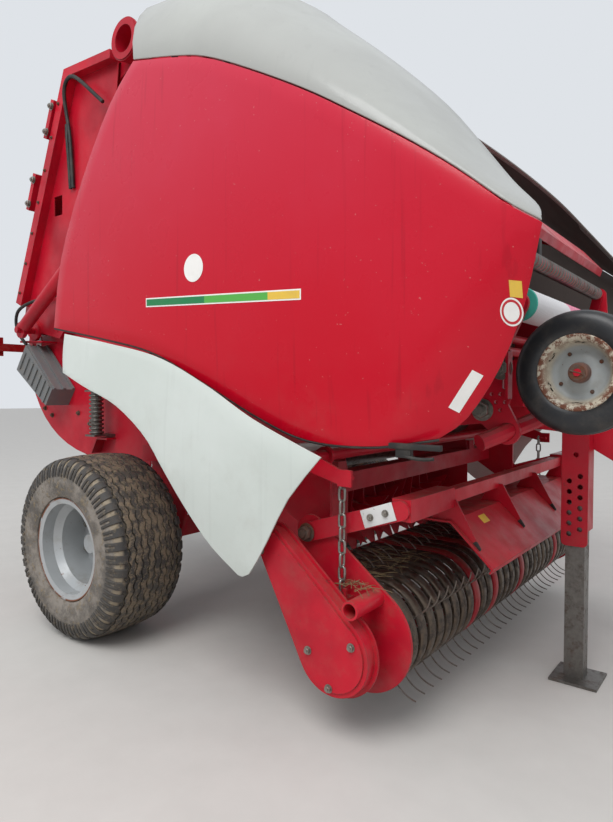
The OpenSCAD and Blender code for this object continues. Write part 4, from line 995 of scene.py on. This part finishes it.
finished(arm_plate(), "arm_plate", WHITE_PLATE, "windguard", 35)
bolts("arm_plate_bolts", [((1549, -1032, 745), (0, -1, 0)), ((1605, -1032, 765), (0, -1, 0))],
      BOLT_ZINC, "windguard", 11)
for k, y in enumerate((-690, -225, 219, 684)):
    tip = plate([(1752, 621), (1781, 595), (1788, 606), (1770, 634)], 8, 0.8)
    tip.location = place(0, y - 1, 0)
    finished(tip, f"gusset_tip_{k}", SEAL_RUBBER, "windguard", 35)
label = block((-36, -30, 0), (36, 30, 1), 0.3)
label.matrix_world = (Matrix.Translation(place(1722, -464, 655.5)) @ Matrix.Rotation(math.radians(44), 4, "Y")
                      @ Matrix.Translation(-place(0, 0, 0)))
finished(label, "windguard_label", YELLOW_FOIL, "windguard", 35)


# Front of the machine

FRAME_NUTS = [(1834, 1235), (1767, 1090)]
bolts("frame_nuts", mirrored([((x, -637, z), (0, -1, 0)) for x, z in FRAME_NUTS]), BOLT_ZINC, "root", 36)
COIL_HALF = 560
COIL_PITCH = 16
coil_rows = [(24, -COIL_HALF)]
for y in range(-COIL_HALF, COIL_HALF, COIL_PITCH):
    coil_rows += [(27.5, y + 2), (30.5, y + 8), (27.5, y + 14)]
coil = turned(coil_rows + [(24, COIL_HALF)], 20)
finished(ring_about_y(coil, 1868, 0, 1635), "spreader_coil", ROLLER_STEEL, "root", 50)
finished(block((1859, -376, 1632), (1877, -344, 1728), 3), "net_brake_post", SEAL_RUBBER, "root")
for side, word in SIDES:
    core = turned([(16, -4), (56, -4), (59, 0), (56, 4), (16, 4)], 40)
    finished(ring_about_y(core, 1885, side * 600, 1455), f"net_core_{word}", TEAL_PLASTIC, "net_roll", 40)


# Tailgate: bolts of the bearing brackets and the lower sheets, hoses, lamps

BRACKETS = [(-830, 2745), (-1040, 2365)]
BRACKET_BOLTS = [(x + 0.407 * along, z + 0.914 * along) for x, z in BRACKETS for along in (-72, 72)]
SHEET_BOLTS = [(-912, 1110), (-770, 1021), (-1144, 1044), (-1061, 1001), (-650, 960), (-1190, 1190)]
BEAM_RIVETS = [(-1215 + 78 * k, 1772 + 174 * k) for k in range(7)]
for name, y, spots, material, size in (("bracket_bolts", -752, BRACKET_BOLTS, BOLT_ZINC, 20),
                                       ("sheet_bolts", -621, SHEET_BOLTS, RUSTY_STEEL, 14),
                                       ("beam_rivets", -740, BEAM_RIVETS, RUSTY_STEEL, 9)):
    bolts(name, mirrored([((x, y, z), (0, -1, 0)) for x, z in spots]), material, "tailgate", size)
# Hoses that are clipped to the right side: over the top, beside it, and round the foot of the rear beam
GATE_HOSES = [
    (0.022, [(-672, -700, 2330), (-674, -706, 2480), (-680, -712, 2640), (-700, -722, 2770),
             (-690, -742, 2860), (-650, -752, 2915), (-585, -754, 2925), (-500, -752, 2868),
             (-400, -746, 2780), (-330, -730, 2715)]),
    (0.020, [(-700, -700, 2330), (-702, -706, 2480), (-712, -712, 2620), (-718, -708, 2700)]),
    (0.020, [(-760, -710, 1735), (-880, -711, 1722), (-980, -718, 1714), (-1060, -738, 1709),
             (-1215, -752, 1672), (-1262, -748, 1610), (-1258, -742, 1540), (-1205, -738, 1480),
             (-1150, -735, 1440)]),
]
gate_hoses = [tube([place(*point) for point in points], diameter, 12) for diameter, points in GATE_HOSES]
finished(join(gate_hoses), "gate_hoses", HOSE_RUBBER, "tailgate", 60)
finished(block((-1238, -625, 1440), (-1180, -621, 1500), 0.8), "gate_label", WHITE_PLATE, "tailgate")
for side, word in SIDES:
    lens = block((-1437, side * 768, 1388), (-1425, side * 992, 1492), 4)
    finished(lens, f"lamp_lens_{word}", LENS_RED, "tailgate")
    lens = block((-1439, side * 768, 1392), (-1431, side * 840, 1488), 3)
    finished(lens, f"lamp_amber_{word}", LENS_AMBER, "tailgate")


# Side covers: seal, stripe, bare signs and latch

def cover_seal(side):
    """Rubber strip along the cover's lower edge."""
    edge = [place(x, side * (cover_out(x, z) - 5), z - 3) for x, z in smooth_line(COVER_LOW, 44)]
    return tube(edge, 0.010, 8)


STRIPE_START, STRIPE_END = 561, 1354
STRIPE_LEAN = 40


def stripe(name, start, end, low, high, material, lift):
    """Part of the slanting stripe on the right cover, between two places along x."""
    share = STRIPE_LEAN / (STRIPE_END - STRIPE_START)
    sunk = share * (start - STRIPE_START)
    sign(name, (start, low - sunk), (end, high - sunk), material, share * (end - start), lift)


for side, word in SIDES:
    finished(cover_seal(side), f"cover_seal_{word}", SEAL_RUBBER, f"cover_{word}", 60)
stripe("stripe_edge", STRIPE_START, STRIPE_END, 1494, 1530, WHITE_FOIL, 0.6)
stripe("stripe_dark_green", 566, 901, 1499, 1525, DARK_GREEN_FOIL, 1.2)
stripe("stripe_light_green", 901, 1212, 1499, 1525, LIGHT_GREEN_FOIL, 1.2)
stripe("stripe_yellow", 1212, 1349, 1499, 1525, YELLOW_FOIL, 1.2)
sign("yellow_sign", (2011, 1413), (2040, 1457), YELLOW_FOIL, 4, 1.0)
round_sign("round_sign_edge", 2012, 1373, 38, WHITE_FOIL, 1.0, 0.7)
round_sign("round_sign_ring", 2012, 1373, 33, RED_FOIL, 1.6, 0.7)
round_sign("round_sign_face", 2012, 1373, 26, WHITE_FOIL, 2.2, 0.7)
round_sign("oval_sign", 843, 1618, 52, WHITE_FOIL, 1.0)


def strip_sign():
    """Bare white strip that slants up along the cover's front edge."""
    unselect()
    bpy.ops.mesh.primitive_grid_add(x_subdivisions=8, y_subdivisions=3, size=1,
                                    rotation=(math.radians(90), 0, 0))
    obj = bpy.context.object
    obj.scale = (0.128, 0.03, 1)
    apply_all(obj)
    obj.matrix_world = Matrix.Translation(place(1884, 0, 1155)) @ Matrix.Rotation(math.radians(-57), 4, "Y")
    apply_all(obj)
    on_cover(obj, 1.2)
    return obj


finished(strip_sign(), "strip_sign", WHITE_FOIL, "cover_right", 40)
latch = join([block((1668, -1126, 984), (1838, -1108, 1002), 3),
              block((1690, -1122, 958), (1740, -1100, 990), 3),
              tube([place(1700, -1115, 972), place(1755, -1120, 950), place(1815, -1122, 962)], 0.012, 10)])
finished(latch, "cover_latch", SEAL_RUBBER, "cover_right")


# Floor, light and camera

def make_stage():
    """Pale floor far around the machine."""
    unselect()
    bpy.ops.mesh.primitive_circle_add(vertices=96, radius=40, fill_type="NGON", location=(0, 0, -0.001))
    floor = bpy.context.object
    floor.name = "floor"
    material, tree, coords = start_material("pale_smooth_concrete")
    shade(tree, {"Base Color": mottled(tree, coords, 166.7, "#bdbab5", "#c9c6c1", 8, 0.6), "Roughness": 0.8})
    floor.data.materials.append(material)


def make_light():
    """Overcast sky from all round and one wide soft lamp above the right front."""
    world = bpy.data.worlds.new("overcast")
    bpy.context.scene.world = world
    world.use_nodes = True
    tree = world.node_tree
    tree.nodes.clear()
    ray = add(tree, "LightPath")
    seen = add(tree, "Background", {"Color": linear("#dfe3e8"), "Strength": 1.0})
    direction = add(tree, "TexCoord").outputs["Generated"]
    up = add(tree, "SeparateXYZ", {0: direction}).outputs["Z"]
    overhead = add(tree, "MapRange", {"Value": up, "From Min": -0.1, "From Max": 0.75},
                   **EASED).outputs["Result"]
    sky = over(tree, "#8b8e92", "#f4f7fc", overhead)
    lights = add(tree, "Background", {"Color": sky, "Strength": 1.04})
    # The camera, glossy metal and glass see the plain backdrop, and all else is lit by the sky
    looking = ray.outputs["Is Camera Ray"]
    for other in ("Is Glossy Ray", "Is Transmission Ray"):
        looking = add(tree, "Math", {0: looking, 1: ray.outputs[other]}, operation="MAXIMUM").outputs[0]
    mixed = add(tree, "MixShader", {0: looking, 1: lights.outputs[0], 2: seen.outputs[0]})
    add(tree, "OutputWorld", {"Surface": mixed.outputs[0]})
    lamp = bpy.data.lights.new("soft_key", "AREA")
    lamp.shape = "DISK"
    lamp.size = 6
    lamp.energy = 520
    key = bpy.data.objects.new("soft_key", lamp)
    key.location = (1.5, -6, 8)
    key.rotation_euler = (Vector((0, 0, 1)) - key.location).to_track_quat("-Z", "Y").to_euler()
    bpy.context.scene.collection.objects.link(key)


# The camera stands where the photo was taken from: its place ahead of, right of and above the axle's foot,
# its heading to the left of the machine's left side, its tilt and its angle of view
CAMERA_PLACE = (2596, -2736, 1160)
CAMERA_HEADING = 37.52
CAMERA_TILT = -1.956
PHOTO_HEIGHT_PX = 822
FOCAL_PX = 615
SENSOR_MM = 36


def make_camera():
    """Camera at the photo's viewpoint."""
    eye = bpy.data.cameras.new("camera")
    eye.sensor_width = SENSOR_MM
    eye.lens = FOCAL_PX * SENSOR_MM / PHOTO_HEIGHT_PX
    eye.clip_end = 200
    obj = bpy.data.objects.new("camera", eye)
    obj.location = place(*CAMERA_PLACE)
    obj.rotation_euler = (math.radians(90 + CAMERA_TILT), 0, math.radians(CAMERA_HEADING))
    bpy.context.scene.collection.objects.link(obj)
    bpy.context.scene.camera = obj


make_stage()
make_light()
make_camera()
bpy.context.scene.view_settings.view_transform = "Standard"

unselect()
